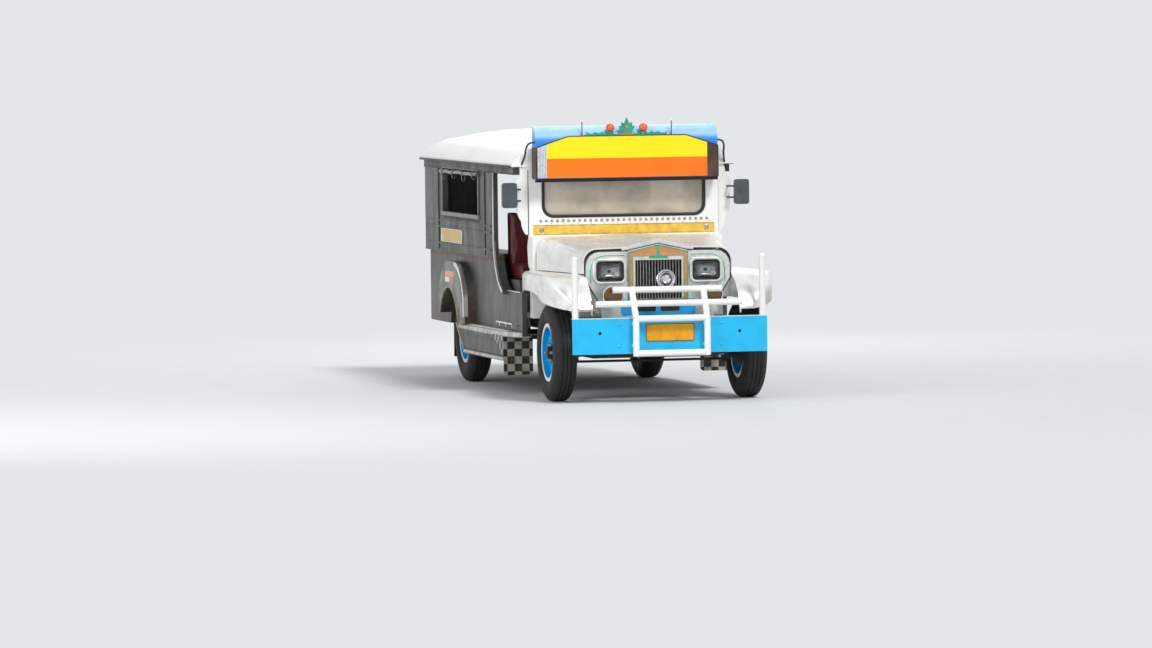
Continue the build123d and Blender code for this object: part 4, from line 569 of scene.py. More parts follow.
bm = bmesh.new()
add_turned(bm, [(0.08, 0), (0.078, 0.022), (0.068, 0.042), (0.05, 0.06), (0.03, 0.07),
                (0.012, 0.0725), (0.0095, 0.075), (0.002, 0.075), (-0.001, 0.072),
                (0.001, 0.067), (0.006, 0.066)], round_centre, (0, 1, 0), 56)
add_block(bm, (-0.014, round_low[1] + 0.03, round_low[2]),
          (0.014, round_low[1] + 0.05, round_centre.z - 0.05))
round_shell = piece("round_lamp_shell", bm, chrome)
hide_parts("round_lamp")
turned_piece("round_lamp_lens", [(0.006, 0.0665), (0.0, 0.058), (-0.004, 0.04), (-0.006, 0.02), (-0.0065, 0)],
             round_centre, (0, 1, 0), 48, lens_glass)
turned_piece("round_lamp_reflector", [(0.008, 0.0655), (0.02, 0.058), (0.034, 0.04), (0.042, 0.018),
                                      (0.043, 0)], round_centre, (0, 1, 0), 48, chrome)

# Lower face and face edges
# The face sheet goes on under the grille, where it is enamelled sky blue and has two slots, drawn as black
# plates of painted shade.
# A black rubber edge is pressed over the face's rim, with a teal line inside it.
blue_half, blue_z = (0.3, 0.062), 0.735
slot_across, slot_half, slot_z = 0.095, (0.076, 0.026), 0.728
# Sky blue enamel on sheet: a little darker in patches.
face_blue = surface("face_enamel_blue", "#0aa9e6", "#0b8cc2", 60, 0.5, (0.25, 0.45), 0, 3, 0.05, 0.3)
plate_piece("lower_face_paint", rounded(*blue_half, 0.02, centre=(0, blue_z)), facing(face_y - 0.003),
            0.0028, face_blue)
bm = bmesh.new()
for x in (-slot_across, slot_across):
    add_plate(bm, rounded(*slot_half, 0.012, centre=(x, slot_z)), facing(face_y - 0.0042), 0.001)
piece("slot_shade", bm, rubber_black)
face_edge = [(0.475, 0.775), (0.585, 0.960), (0.585, 1.065), (0.576, 1.109), (0.551, 1.146),
             (0.514, 1.171), (0.470, 1.180), (0.24, 1.180)]
for side_name, side in sides:
    tube("face_edge_" + side_name, [(side * x, face_y - 0.001, z) for x, z in face_edge], 0.0045,
         rubber_black)
    inner = [(side * (x - 0.045) if x > 0.3 else side * (x + 0.03), z - 0.035)
             for x, z in face_edge[1:]]
    tube("face_line_" + side_name, [(x, face_y - 0.001, z) for x, z in inner], 0.0035, teal_line)

# Body metal
# The sides and rear are galvanised sheet riveted to posts; hood and fenders are polished stainless
# sheet, rolled and beaten. The pods are dull sheet, and cowl, windshield frame and roof are painted.

# Hot-dipped zinc, aged: dull grey in upright streaks, dust low down, rust at the belt; painted shade on the
# valance.
galvanised = surface("galvanised_sheet_aged_valance_shaded", "#5f655f", "#3d423d", 210, 0.6, (0.32, 0.55), 0.6,
                     6, 0.15, stretch=(1, 1, 0.4),
                     heights=[
                         ("#5d554c", ((0.47, 0.9), (0.72, 0.6), (1.0, 0.5), (1.069, 0.5), (1.072, 0)), 0.4),
                         ("#6b4226", ((1.0, 0), (1.062, 0.6), (1.069, 1), (1.072, 0)), 0.8),
                         # Painted shade: the valance under the roof's edge is darkened from about 1.766 m up.
                         ("#30332f", ((1.762, 0), (1.766, 0.7)), 0.2)])
# Polished stainless: near white, softly uneven, with a brownish haze low down.
stainless = surface("stainless_sheet_polished", "#f4f4f1", "#cfcfca", 160, 0.5, (0.22, 0.4), 0.5,
                    5, 0.10, heights=[("#8a7666", ((0.66, 0.5), (0.80, 0.2), (0.93, 0)), 0.9)])
# Aluminium sheet, scuffed: bright on the ledge; the dark band down the face is partly dirt and partly painted
# shade.
board_steel = surface("board_sheet_scuffed_and_shaded", "#dad9d4", "#918e88", 90, 0.7, (0.3, 0.5), 0.3, 5, 0.2,
                      stretch=(1.4, 1.2, 0.4),
                      heights=[("#3a3835", ((0.296, 0), (0.304, 2.6), (0.44, 2.4), (0.468, 0)), 0.25)])
# Dull rolled sheet: darker metal with a brownish lower half.
pod_steel = surface("pod_sheet_dull", "#83857f", "#55574f", 130, 0.6, (0.25, 0.45), 0.85, 5, 0.12,
                    heights=[("#5f554a", ((0.56, 0.8), (0.75, 0.3), (0.95, 0)), 0.8)])
# Rusted seam: brown, rough and matt.
rust_brown = surface("belt_seam_rusted", "#6e4a2c", "#3b2a1d", 35, 0.6, (0.6, 0.85), 0.1, 2, 0.4)
# Bright folded sheet: pale and shiny, almost unworn.
bright_trim = surface("trim_sheet_bright", "#efefed", "#b9b8b3", 120, 0.4, (0.12, 0.3), 0.85, 3, 0.05)
dress(galvanised, "side_left", "side_right", "rear_wall")
dress(stainless, "hood", "front_fenders")
dress(pod_steel, "rear_fenders")
dress(board_steel, "running_boards")
# White roof enamel, rolled on thick: very pale and half matt.
roof_white = surface("roof_enamel_white", "#fbfbf9", "#f1f0ed", 420, 0.3, (0.35, 0.5), 0, 30, 0.1)
dress(white_gloss, "cowl", "windshield_frame")
dress(roof_white, "roof")
nose_line = [                # across, lower edge and upper edge of the bright strip on the hood's nose
    (0.290, 1.184, 1.204), (0.240, 1.188, 1.207), (0.120, 1.213, 1.241), (0, 1.239, 1.277)]
bm = bmesh.new()
for side in (-1, 1):
    lower_edge = [(side * x, low) for x, low, high in nose_line]
    upper_edge = [(side * x, high) for x, low, high in reversed(nose_line)]
    add_plate(bm, lower_edge + upper_edge, facing(face_y + 0.0025), 0.008)
piece("hood_nose_strip", bm, bright_trim, "hood")

# Visor, sign and crest
# The visor is sheet rolled over at the top, enamelled pale cyan to blue. The blank sign board
# screwed to its front is yellow over orange, with a ribbed aluminium end and brown end boards.
# The crest on its edge is cut sheet and turned balls: crown, stones, leaf scrolls and staffs.
visor_low, visor_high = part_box("visor")
crest_low, crest_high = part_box("crest")
sign_y, sign_top = visor_low[1], crest_low[2]
visor_front, visor_half = sign_y + 0.014, visor_high[0]
sign_low, sign_half = visor_low[2] + 0.003, visor_half - 0.008
corner_across, corner_down = 0.257, 0.086
sign_shoulder, painted_half = sign_top - corner_down, 0.655
sign_split = 1.888
# Sky blue enamel, paler towards the top: pale cyan on top that deepens to blue downwards.
visor_blue = surface("visor_enamel_pale_top", "#2f8fe0", "#2a80cc", 400, 0.2, (0.38, 0.5), 0, 3, 0.04, 0,
                     heights=[("#c6eefa", ((2.02, 0), (2.08, 0.4), (2.137, 0.95)), 0.15)])
dress(visor_blue, "visor")
# Sign enamel in two flat colours, yellow over orange, fresh and smooth.
sign_paint = surface("sign_enamel_two_colour", "#ff7a00", "#f26c00", 300, 0.3, (0.25, 0.4), 0, 4, 0.04,
                     0.1, heights=[("#fbe800", ((sign_split, 0), (sign_split + 0.003, 3)), 0)])
# Ribbed aluminium: pale upright bands of light and shade.
ribbed_alloy = surface("aluminium_sheet_ribbed", "#ebecec", "#b4b6b7", 30, 0.5, (0.25, 0.4), 0.55, 3, 0.1)
# Brown enamel on board: dull and a little scratched.
brown_board = surface("brown_enamel_board", "#3a2c22", "#57473a", 90, 0.5, (0.4, 0.6), 0, 3, 0.15)


def spread(low, high, pitch):
    """Evenly spaced values from low to high, about one pitch apart."""
    count = max(1, round((high - low) / pitch))
    return [low + (high - low) * i / count for i in range(count + 1)]


def side_block(bm, side, near, far, low, high):
    """A box on one side: near and far from the middle plane, low and high as (y, z)."""
    low_x, high_x = sorted((side * near, side * far))
    add_block(bm, (low_x, *low), (high_x, *high))


def sign_edge(x):
    """Height of the sign's upper edge at a place across it."""
    return sign_top - corner_down * max(0, abs(x) - sign_half + corner_across) / corner_across


upper = [(x, sign_edge(x) - 0.006) for x in (painted_half, sign_half - corner_across,
                                             corner_across - sign_half, -painted_half)]
plate_piece("sign_board", [(-painted_half, sign_low + 0.006), (painted_half, sign_low + 0.006)] + upper,
            facing(sign_y - 0.003), 0.0035, sign_paint)
bm = bmesh.new()
ribs = spread(-sign_half + 0.004, -painted_half, 0.013)
for start, end in zip(ribs, ribs[1:]):
    add_block(bm, (start + 0.0012, sign_y - 0.006, sign_low + 0.006),
              (end - 0.0012, sign_y + 0.001, sign_edge(start) - 0.006))
piece("sign_end_ribs", bm, ribbed_alloy, bevel=0.002)
bm = bmesh.new()
add_plate(bm, [(painted_half, sign_low), (sign_half, sign_low), (sign_half, sign_edge(sign_half) - 0.004),
               (painted_half, sign_edge(painted_half) - 0.004)], facing(sign_y - 0.004), 0.0045)
for side in (1, -1):
    side_block(bm, side, sign_half - 0.001, visor_half + 0.004,
               (sign_y - 0.001, sign_low), (visor_front + 0.128, sign_shoulder))
piece("sign_end_boards", bm, brown_board, bevel=0.001)
outline = [(-sign_half, sign_low), (sign_half, sign_low), (sign_half, sign_shoulder),
           (sign_half - corner_across, sign_top), (corner_across - sign_half, sign_top),
           (-sign_half, sign_shoulder)]
tube("sign_frame", [(x, sign_y - 0.002, z) for x, z in outline], 0.004, brown_board, closed=True)
# A black band under the visor's front edge is painted shade, standing in for the shadow beneath the visor.
bm = bmesh.new()
add_block(bm, (-visor_half, visor_front - 0.001, visor_low[2] - 0.024),
          (visor_half, visor_front + 0.028, visor_low[2] + 0.0005))
piece("visor_underside_shade_band", bm, rubber_black, bevel=0.002)
for side_name, side in sides:
    tube("visor_stay_" + side_name,
         [(side * (visor_half + out), visor_front + back, z) for out, back, z in
          ((0, 0.03, 2.02), (0.042, 0.03, 2.02), (0.067, 0.05, 1.98), (0.067, 0.09, 1.90),
           (0.087, 0.135, 1.84))], 0.008, black_enamel, order=3)

crest_y, crest_middle = crest_low[1], (crest_low[1] + crest_high[1]) / 2
crest_depth = crest_high[1] - crest_low[1]
# Glossy teal enamel on cut sheet.
crest_teal = surface("crest_enamel_teal", "#10a88e", "#0b7a6a", 40, 0.4, (0.25, 0.4), 0, 2, 0.1, 0.4)
# Glossy orange enamel on turned wood.
crest_orange = surface("crest_enamel_orange", "#f2660c", "#c04c0a", 30, 0.4, (0.2, 0.35), 0, 2, 0.1, 0.4)
# Brown enamel on rod, half dull.
staff_brown = surface("staff_enamel_brown", "#5d3626", "#3b241a", 30, 0.5, (0.35, 0.5), 0, 2, 0.1)
crown_half = [(0.050, 0), (0.042, 0.014), (0.040, 0.026), (0.052, 0.044), (0.070, 0.082), (0.048, 0.072),
              (0.043, 0.108), (0.022, 0.096), (0, 0.146)]
crown_outline = crown_half + [(-x, rise) for x, rise in reversed(crown_half[:-1])]
crown = plate_piece("crest_crown", [(x, sign_top + rise) for x, rise in crown_outline], facing(crest_y),
                    crest_depth, crest_teal, bevel=0.003)
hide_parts("crest")
stone_z = sign_top + 0.060
bm = bmesh.new()
add_turned(bm, [(0, 0.016), (0.004, 0.0155), (0.010, 0.010), (0.012, 0)], (0, crest_y, stone_z),
           (0, -1, 0), 20)
bmesh.ops.scale(bm, vec=(0.8, 1, 1.25), space=Matrix.Translation((0, 0, -stone_z)), verts=bm.verts)
add_block(bm, (-0.052, crest_y - 0.004, sign_top), (0.052, crest_high[1], sign_top + 0.014))
ball_x, ball_z, ball_radius = 0.135, sign_top + 0.062, 0.035
staff_x = 0.365
profile = [(ball_radius * sin(a), ball_radius * cos(a)) for a in spread(-pi / 2, pi / 2, pi / 12)]
for side in (1, -1):
    add_turned(bm, profile, (side * ball_x, crest_middle, ball_z), (0, 0, 1), 28)
piece("crest_stones", bm, crest_orange)
leaf = [(0.050, 0), (0.300, 0), (0.325, 0.008), (0.338, 0.036), (0.318, 0.022), (0.285, 0.016),
        (0.255, 0.030), (0.225, 0.018), (0.205, 0.034), (0.180, 0.018), (0.100, 0.014), (0.050, 0.020)]
bm = bmesh.new()
for side in (1, -1):
    add_turned(bm, [(0, 0.020), (0.012, 0.022), (0.020, 0.030), (0.030, 0.031)],
               (side * ball_x, crest_middle, sign_top), (0, 0, 1), 24)
    add_plate(bm, [(side * x, sign_top + rise) for x, rise in leaf], facing(crest_y + 0.002), 0.010)
piece("crest_leaves", bm, crest_teal, bevel=0.0025)
bm = bmesh.new()
tips = bmesh.new()
for side in (1, -1):
    foot = (side * staff_x, crest_middle, sign_top - 0.004)
    add_turned(bm, [(0, 0.007), (0.004, 0.007), (0.006, 0.0045), (0.118, 0.004), (0.120, 0)], foot,
               (0, 0, 1), 16)
    add_turned(tips, [(0.114, 0), (0.116, 0.006), (0.124, 0.009), (0.132, 0.006), (0.136, 0)], foot,
               (0, 0, 1), 16)
piece("crest_staffs", bm, staff_brown)
piece("crest_staff_tips", tips, white_gloss)

# Windshield
# A white enamelled sheet frame holds one tinted pane in a thick rubber seal. A row of studs and a
# blank amber strip are screwed on under it, and a seam parts the frame from its scalloped wings.
frame_low, frame_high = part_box("windshield_frame")
frame_y = frame_low[1]
pane_low, pane_high = 1.430, 1.775
pane_half, pane_corner = 0.655, 0.085
strip_low, strip_high, strip_half = 1.280, 1.357, 0.742
strip_z = (strip_low + strip_high) / 2
wing_seam = 0.778
wing_face = frame_high[1] - 0.022
wing_scallops = [             # x and z of each point, and the bow of the edge up to the next
    (0.795, 1.283, 0.010), (0.832, 1.386, 0.018), (0.875, 1.581, 0.030), (0.838, 1.752, 0.005),
    (0.823, 1.825, 0)]
# Tinted safety glass under a film of dust: sandy, half clear, with cloudy patches.
grime_patch = 166.67         # millimetres
glass, glass_tree, glass_shader = shader_material("windshield_glass_tinted")
grime = add_node(glass_tree, "ShaderNodeTexNoise", {
    "Vector": add_node(glass_tree, "ShaderNodeTexCoord").outputs["Object"],
    "Scale": 1000 / grime_patch, "Detail": 5})
haze = add_node(glass_tree, "ShaderNodeMapRange", {
    "Value": grime.outputs[0], "From Min": 0.3, "From Max": 0.7, "To Min": 0.5, "To Max": 0.2})
glass_tree.links.new(haze.outputs[0], glass_shader.inputs["Transmission Weight"])
glass_shader.inputs["Base Color"].default_value = linear("#ddd1be")
glass_shader.inputs["Roughness"].default_value = 0.08
dress(glass, "windshield_glass")
seal = rounded(pane_half + 0.004, (pane_high - pane_low) / 2 + 0.004, pane_corner, 8,
               (0, (pane_low + pane_high) / 2))
tube("windshield_seal", [(x, frame_y + 0.002, z) for x, z in seal], 0.013, rubber_black, closed=True)
# Amber enamel: even, with a browner line of dirt along both edges.
strip_amber = surface("strip_enamel_amber", "#f8cf4a", "#dfa62c", 60, 0.5, (0.3, 0.5), 0, 3, 0.1, 0.2,
                      heights=[("#8a5a1a", ((strip_low, 1), (strip_low + 0.007, 0.1),
                                            (strip_high - 0.007, 0.1), (strip_high, 1)), 0.4)])
plate_piece("windshield_strip", rounded(strip_half, (strip_high - strip_low) / 2, 0.008, 3, (0, strip_z)),
            facing(frame_y - 0.004), 0.0045, strip_amber, bevel=0.001)


def add_domes(bm, places, radius, rise, along, steps=8):
    """Rivet heads or studs in a row of places, standing out along an axis."""
    for spot in places:
        add_turned(bm, [(-0.001, radius), (rise * 0.6, radius * 0.75), (rise, 0)], spot, along, steps)


bm = bmesh.new()
add_domes(bm, [(x, frame_y, strip_high + 0.033) for x in spread(-0.68, 0.68, 0.045)],
          0.0135, 0.008, (0, -1, 0), 12)
add_domes(bm, [(x, frame_y, strip_high + 0.010) for x in spread(-0.70, 0.70, 0.11)],
          0.005, 0.003, (0, -1, 0))
for side in (1, -1):
    add_turned(bm, [(-0.001, 0.021), (0.002, 0.021), (0.005, 0.017), (0.005, 0.012), (0.009, 0.008),
                    (0.010, 0)], (side * 0.675, frame_y - 0.004, strip_z), (0, -1, 0), 24)
piece("windshield_studs", bm, zinc)
for side_name, side in sides:
    tube("wing_seam_" + side_name, [(side * wing_seam, wing_face - 0.0005, z) for z in (1.28, 1.80)],
         0.0025, rubber_black)
    arcs = []
    for (x0, z0, bow), (x1, z1) in zip(wing_scallops, [place[:2] for place in wing_scallops[1:]]):
        run = Vector((x1 - x0, z1 - z0))
        out = Vector((run.y, -run.x)).normalized()
        for share in spread(0, 0.875, 0.125):
            spot = Vector((x0, z0)) + run * share + out * 4 * bow * share * (1 - share)
            arcs.append((side * (spot.x - 0.002), wing_face + 0.004, spot.y))
    tube("wing_bead_" + side_name, arcs, 0.005, white_gloss)
    bm = bmesh.new()
    add_domes(bm, [(side * 0.79, wing_face, z) for z in spread(1.31, 1.78, 0.075)],
              0.004, 0.0025, (0, -1, 0))
    piece("wing_rivets_" + side_name, bm, white_gloss)

# Roof edge, valance and curtains
# A dark enamelled drip rail runs under the white sheet roof and a bead along the valance's foot.
# Over each side window hangs a rolled curtain of clear plastic, held in webbing straps.
roof_low, roof_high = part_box("roof")
belt_face, side_face, tail_y = 0.880, 0.840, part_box("side_left")[1][1]
valance_z = roof_low[2] - 0.060
window_front, window_back, window_low, window_high = 0.3175, 1.7675, 1.400, 1.760
roll_z = 1.738
drip_z = roof_low[2] + 0.002
drip_x = roof_high[0] + 0.001
drip_front, drip_back = roof_low[1] + 0.05, roof_high[1] + 0.001
# Grey-black enamel on a steel rail: dull.
drip_dark = surface("drip_rail_enamel", "#2c2e2c", "#4c4f4a", 60, 0.5, (0.4, 0.6), 0.4, 3, 0.1)
# Clear plastic, rolled: greyish folds that glint along their length.
curtain_clear = surface("curtain_plastic_rolled", "#6f716c", "#34352f", 26, 0.6, (0.15, 0.4), 0, 18, 4,
                        0.3, (1, 3, 1))
# Woven webbing: matt beige with dirty patches.
strap_web = surface("strap_webbing", "#8d897d", "#4a463c", 18, 0.5, (0.7, 0.9), 0, 1, 0.4)
tube("drip_rail", [(x, y, drip_z) for x, y in ((-drip_x, drip_front), (-drip_x, drip_back),
                                               (drip_x, drip_back), (drip_x, drip_front))],
     0.009, drip_dark)
for side_name, side in sides:
    tube("valance_bead_" + side_name, [(side * (belt_face + 0.004), y, valance_z) for y in (-1.06, tail_y)],
         0.006, drip_dark)
    draw = random.Random(5 if side > 0 else 9)
    roll = [(side * (belt_face + 0.018 + draw.uniform(-0.003, 0.003)), y,
             roll_z + draw.uniform(-0.007, 0.005))
            for y in spread(window_front - 0.03, window_back + 0.03, 0.075)]
    tube("curtain_roll_" + side_name, roll, 0.017, curtain_clear, order=4)
    bm = bmesh.new()
    for y in spread(window_front + 0.12, window_back - 0.12, 0.40):
        strap_low = 1.690 + draw.uniform(-0.02, 0.01)
        ring = [(0.005, 1.764), (0.036, 1.758), (0.040, 1.730), (0.030, strap_low),
                (0.010, strap_low - 0.006), (0.005, 1.708)]
        rows = [[bm.verts.new((side * (belt_face + out), y + half, z)) for out, z in ring]
                for half in (-0.011, 0.011)]
        for i in range(len(ring) - 1):
            bm.faces.new([rows[0][i], rows[0][i + 1], rows[1][i + 1], rows[1][i]])
    straps = piece("curtain_straps_" + side_name, bm, strap_web)
    thick = straps.modifiers.new("thick", "SOLIDIFY")
    thick.thickness = 0.003

# Sides
# Posts of folded sheet are riveted on each side panel, with an aluminium channel and sill round the
# window and a blank beige board under it. The belt seam rusts where the upper sheet laps over, and
# a bright strip is folded round the doorway's rear edge.
belt_z, sill_z, door_y = 1.070, 0.820, -0.2425
pod_front_y = 0.6955
sweep_along, sweep_up = 0.325, 0.390
post_places, post_half = (("front_post", 0.085), ("rear_post", 1.965)), 0.018
route_centre, route_half = (1.4225, 1.205), (0.415, 0.05)
foot_front, foot_back, foot_z = -0.995, -0.39, 0.560
rivet_pitch = 0.09
# Aluminium channel, mill finish: mid grey with a soft sheen.
window_alloy = surface("window_channel_alloy", "#8f928e", "#5c5f5b", 60, 0.5, (0.3, 0.5), 0.7, 3, 0.1)
# Beige enamel on sheet, almost even.
board_amber = surface("route_board_enamel", "#e2c07a", "#d3ab5e", 420, 0.3, (0.35, 0.5), 0, 3, 0.05)


def siding(side, x):
    """Places a plate's outline along Y and Z on a body side, its thickness running inward from x."""
    return lambda a, b, depth: (side * (x - depth), a, b)


def add_skin(bm, lines):
    """A sheet stretched from one line of points to the next."""
    rows = [[bm.verts.new(point) for point in line] for line in lines]
    for one, two in zip(rows, rows[1:]):
        for i in range(len(one) - 1):
            bm.faces.new([one[i], two[i], two[i + 1], one[i + 1]])


def arc(first, through, last, steps):
    """Points on the circle arc from first through a middle point to last, in a plane."""
    (ax, ay), (bx, by), (cx, cy) = first, through, last
    double = 2 * (ax * (by - cy) + bx * (cy - ay) + cx * (ay - by))
    a2, b2, c2 = ax * ax + ay * ay, bx * bx + by * by, cx * cx + cy * cy
    middle = Vector(((a2 * (by - cy) + b2 * (cy - ay) + c2 * (ay - by)) / double,
                     (a2 * (cx - bx) + b2 * (ax - cx) + c2 * (bx - ax)) / double))
    start, end = Vector(first) - middle, Vector(last) - middle
    sweep = start.angle_signed(end)
    return [tuple(middle + Matrix.Rotation(-sweep * i / steps, 2) @ start) for i in range(steps + 1)]


def doorway_sweep(offset):
    """The swept lower rear corner of the doorway, moved out by offset, from the top down."""
    return arc((door_y + offset, sill_z + sweep_up),
               (door_y - sweep_along * 0.385 + offset * 0.7, sill_z + sweep_up * 0.295 - offset * 0.7),
               (door_y - sweep_along, sill_z - offset), 14)


window_half = ((window_back - window_front) / 2, (window_high - window_low) / 2)
window_centre = ((window_front + window_back) / 2, (window_low + window_high) / 2)
for side_name, side in sides:
    frame_line = rounded(window_half[0] + 0.006, window_half[1] + 0.006, 0.05, 6, window_centre)
    tube("window_bead_" + side_name, [(side * (belt_face + 0.008), y, z) for y, z in frame_line], 0.006,
         window_alloy, closed=True)
    bm = bmesh.new()
    side_block(bm, side, belt_face - 0.004, belt_face + 0.017,
               (window_front - 0.03, window_low - 0.030), (window_back + 0.03, window_low + 0.003))
    piece("window_sill_" + side_name, bm, window_alloy, bevel=0.004)
    # Two thin black bars under the sill are painted shade, standing in for the shadow slot beneath it.
    bm = bmesh.new()
    for z in (window_low - 0.040, window_low - 0.053):
        side_block(bm, side, belt_face, belt_face + 0.003,
                   (window_front, z - 0.004), (window_back, z + 0.004))
    piece("sill_shade_" + side_name, bm, rubber_black)
    for name, y in post_places:
        bm = bmesh.new()
        side_block(bm, side, belt_face, belt_face + 0.0095,
                   (y - post_half, 1.085), (y + post_half, valance_z))
        piece(name + "_" + side_name, bm, galvanised, bevel=0.0025)
    plate_piece("route_board_" + side_name, rounded(*route_half, 0.006, 2, route_centre),
                siding(side, belt_face + 0.005), 0.006, board_amber, bevel=0.001)
    board_edge = rounded(route_half[0] + 0.004, route_half[1] + 0.004, 0.006, 2, route_centre)
    tube("route_board_edge_" + side_name, [(side * (belt_face + 0.004), y, z) for y, z in board_edge], 0.004,
         bright_trim, closed=True)
    rivets = [(belt_face, y, 1.092) for y in spread(-0.20, 2.50, rivet_pitch)]
    rivets += [(belt_face + 0.006, y, 1.806) for y in spread(-1.02, 2.50, rivet_pitch)]
    rivets += [(belt_face, y, z) for z in spread(1.16, 1.70, rivet_pitch) for y in (-0.20, 0.045, 2.01, 2.49)]
    rivets += [(side_face, y, 1.045) for y in spread(-0.20, 2.50, rivet_pitch)]
    rivets += [(side_face, -1.06, z) for z in spread(0.56, 0.80, 0.08)]
    bm = bmesh.new()
    add_domes(bm, [(side * x, y, z) for x, y, z in rivets], 0.0045, 0.003, (side, 0, 0))
    piece("side_rivets_" + side_name, bm, galvanised)
    for start_y, end_y in ((door_y + 0.034, pod_front_y), (pod_front_y, tail_y)):
        tube(f"belt_seam_{side_name}_{int(start_y > 0)}",
             [(side * (side_face + 0.002), y, belt_z - 0.004) for y in (start_y, end_y)], 0.006, rust_brown)
    tube("belt_lip_" + side_name, [(side * belt_face, y, belt_z + 0.001) for y in (door_y + 0.002, tail_y)],
         0.005, galvanised)
    bm = bmesh.new()
    near, far = doorway_sweep(-0.002), doorway_sweep(0.026)
    add_skin(bm, [[(side * x, y, z) for y, z in line] for line, x in
                  ((near, belt_face - 0.012), (near, belt_face + 0.002), (far, belt_face + 0.002),
                   (far, belt_face - 0.012))])
    add_plate(bm, [(door_y - 0.002, sill_z + sweep_up), (door_y - 0.002, 1.760), (door_y + 0.018, 1.760),
                   (door_y + 0.026, sill_z + sweep_up)], siding(side, belt_face + 0.002), 0.007)
    piece("doorway_trim_" + side_name, bm, bright_trim)
    tube("sill_bead_" + side_name, [(side * (side_face + 0.001), y, sill_z + 0.001)
                                    for y in (-1.08, door_y - sweep_along)], 0.006, bright_trim)
    bm = bmesh.new()
    side_block(bm, side, side_face - 0.001, side_face + 0.06,
               (foot_front, foot_z), (foot_back, foot_z + 0.012))
    for y in (-0.93, -0.69, -0.45):
        side_block(bm, side, side_face - 0.001, side_face + 0.045,
                   (y - 0.006, foot_z - 0.030), (y + 0.006, foot_z + 0.001))
    piece("foot_plate_" + side_name, bm, bright_trim, bevel=0.0015)

# Fenders, pods, running boards and flaps
# The fenders' edges are rolled over a wire. A bright band is riveted round each pod's front, with
# a three-colour reflector panel on its side. The boards are folded sheet with edge strips and a
# bright tread sheet; their ends and the front flaps are painted in squares, the rear flaps black.

# Beige enamel on the edge strips, worn to darker metal.
edge_beige = surface("edge_strip_beige", "#b3a58c", "#6c5f4d", 90, 0.5, (0.35, 0.55), 0.4, 3, 0.1)


chequer_dust = 71.4286       # millimetres


def chequered(name, dark, pale, square, plain_from):
    """Enamelled squares, square millimetres wide, dulled by dust; plain from a place on Y."""
    material, tree, shader = shader_material(name)
    place = add_node(tree, "ShaderNodeTexCoord").outputs["Object"]
    squares = add_node(tree, "ShaderNodeTexChecker", {
        "Vector": place, "Color1": linear(dark), "Color2": linear(pale), "Scale": 1000 / square})
    behind = add_node(tree, "ShaderNodeMath", {
        0: add_node(tree, "ShaderNodeSeparateXYZ", {0: place}).outputs[1], 1: plain_from},
        operation="GREATER_THAN")
    parted = add_node(tree, "ShaderNodeMix", {
        0: behind.outputs[0], 6: squares.outputs[0], 7: linear(dark)}, data_type="RGBA")
    dust = add_node(tree, "ShaderNodeTexNoise", {"Vector": place, "Scale": 1000 / chequer_dust, "Detail": 6})
    share = add_node(tree, "ShaderNodeMapRange", {
        "Value": dust.outputs[0], "From Min": 0.45, "From Max": 0.8, "To Max": 0.7})
    mixed = add_node(tree, "ShaderNodeMix", {
        0: share.outputs[0], 6: parted.outputs[2], 7: linear("#57503f")}, data_type="RGBA")
    tree.links.new(mixed.outputs[2], shader.inputs["Base Color"])
    gloss = add_node(tree, "ShaderNodeMapRange", {"Value": dust.outputs[0], "To Min": 0.25, "To Max": 0.7})
    tree.links.new(gloss.outputs[0], shader.inputs["Roughness"])
    return material


# Moulded reflector: orange with a glassy surface.
reflex_amber = surface("reflex_panel_amber", "#f08a12", "#d86e0a", 40, 0.4, (0.2, 0.35), 0, 3, 0.2, 0.3)
# Moulded reflector: red with a glassy surface.
reflex_red = surface("reflex_panel_red", "#c92a16", "#9c1c10", 40, 0.4, (0.2, 0.35), 0, 3, 0.2, 0.3)
# Squares of black and silver enamel under dust; the rear flaps are the same rubber, plain.
chequer = chequered("chequer_enamel", "#151515", "#a9a69a", 60, 1)
dress(chequer, "mud_flaps")
board_low, board_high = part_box("running_boards")
board_x, board_front, board_back = 0.930, -0.8125, board_high[1]
board_bottom, board_top = board_low[2], 0.500
lip_top = board_bottom + 0.045
board_slant, board_round = 0.330, 0.032
axle_y, axle_z, pod_face, pod_top = 1.2875, 0.385, 0.935, 1.000
pod_low, pod_knee = 0.56, 0.700
arch_y, arch_radius = axle_y + 0.06, 0.402
reflex_table = [              # name, material, rear end, lower and upper edge, length
    ("reflex_upper", reflex_amber, 1.47, 0.872, 0.918, 0.36),
    ("reflex_red", reflex_red, 1.29, 0.826, 0.868, 0.18),
    ("reflex_white", white_gloss, 1.47, 0.826, 0.868, 0.176),
]
skirt = arc((-1.2525, 0.836), (-1.4525, 0.856), (-1.8875, 0.862), 8)
skirt += arc((-1.8875, 0.862), (-2.0625, 0.838), (-2.2975, 0.786), 10)[1:]
skirt += [(-2.44, 0.757), (-2.55, 0.731)]
fender_plan = [(-1.2525, 0.862), (-1.6425, 0.920)]
fender_plan += arc((-2.1225, 0.920), (-2.4325, 0.868), (-2.5825, 0.700), 16)


def fender_bow(y):
    """Half width of the fender's outer side at a place along it."""
    for (y0, x0), (y1, x1) in zip(fender_plan, fender_plan[1:]):
        if y >= y1:
            return x0 + (x1 - x0) * (y0 - y) / (y0 - y1)
    return fender_plan[-1][1]


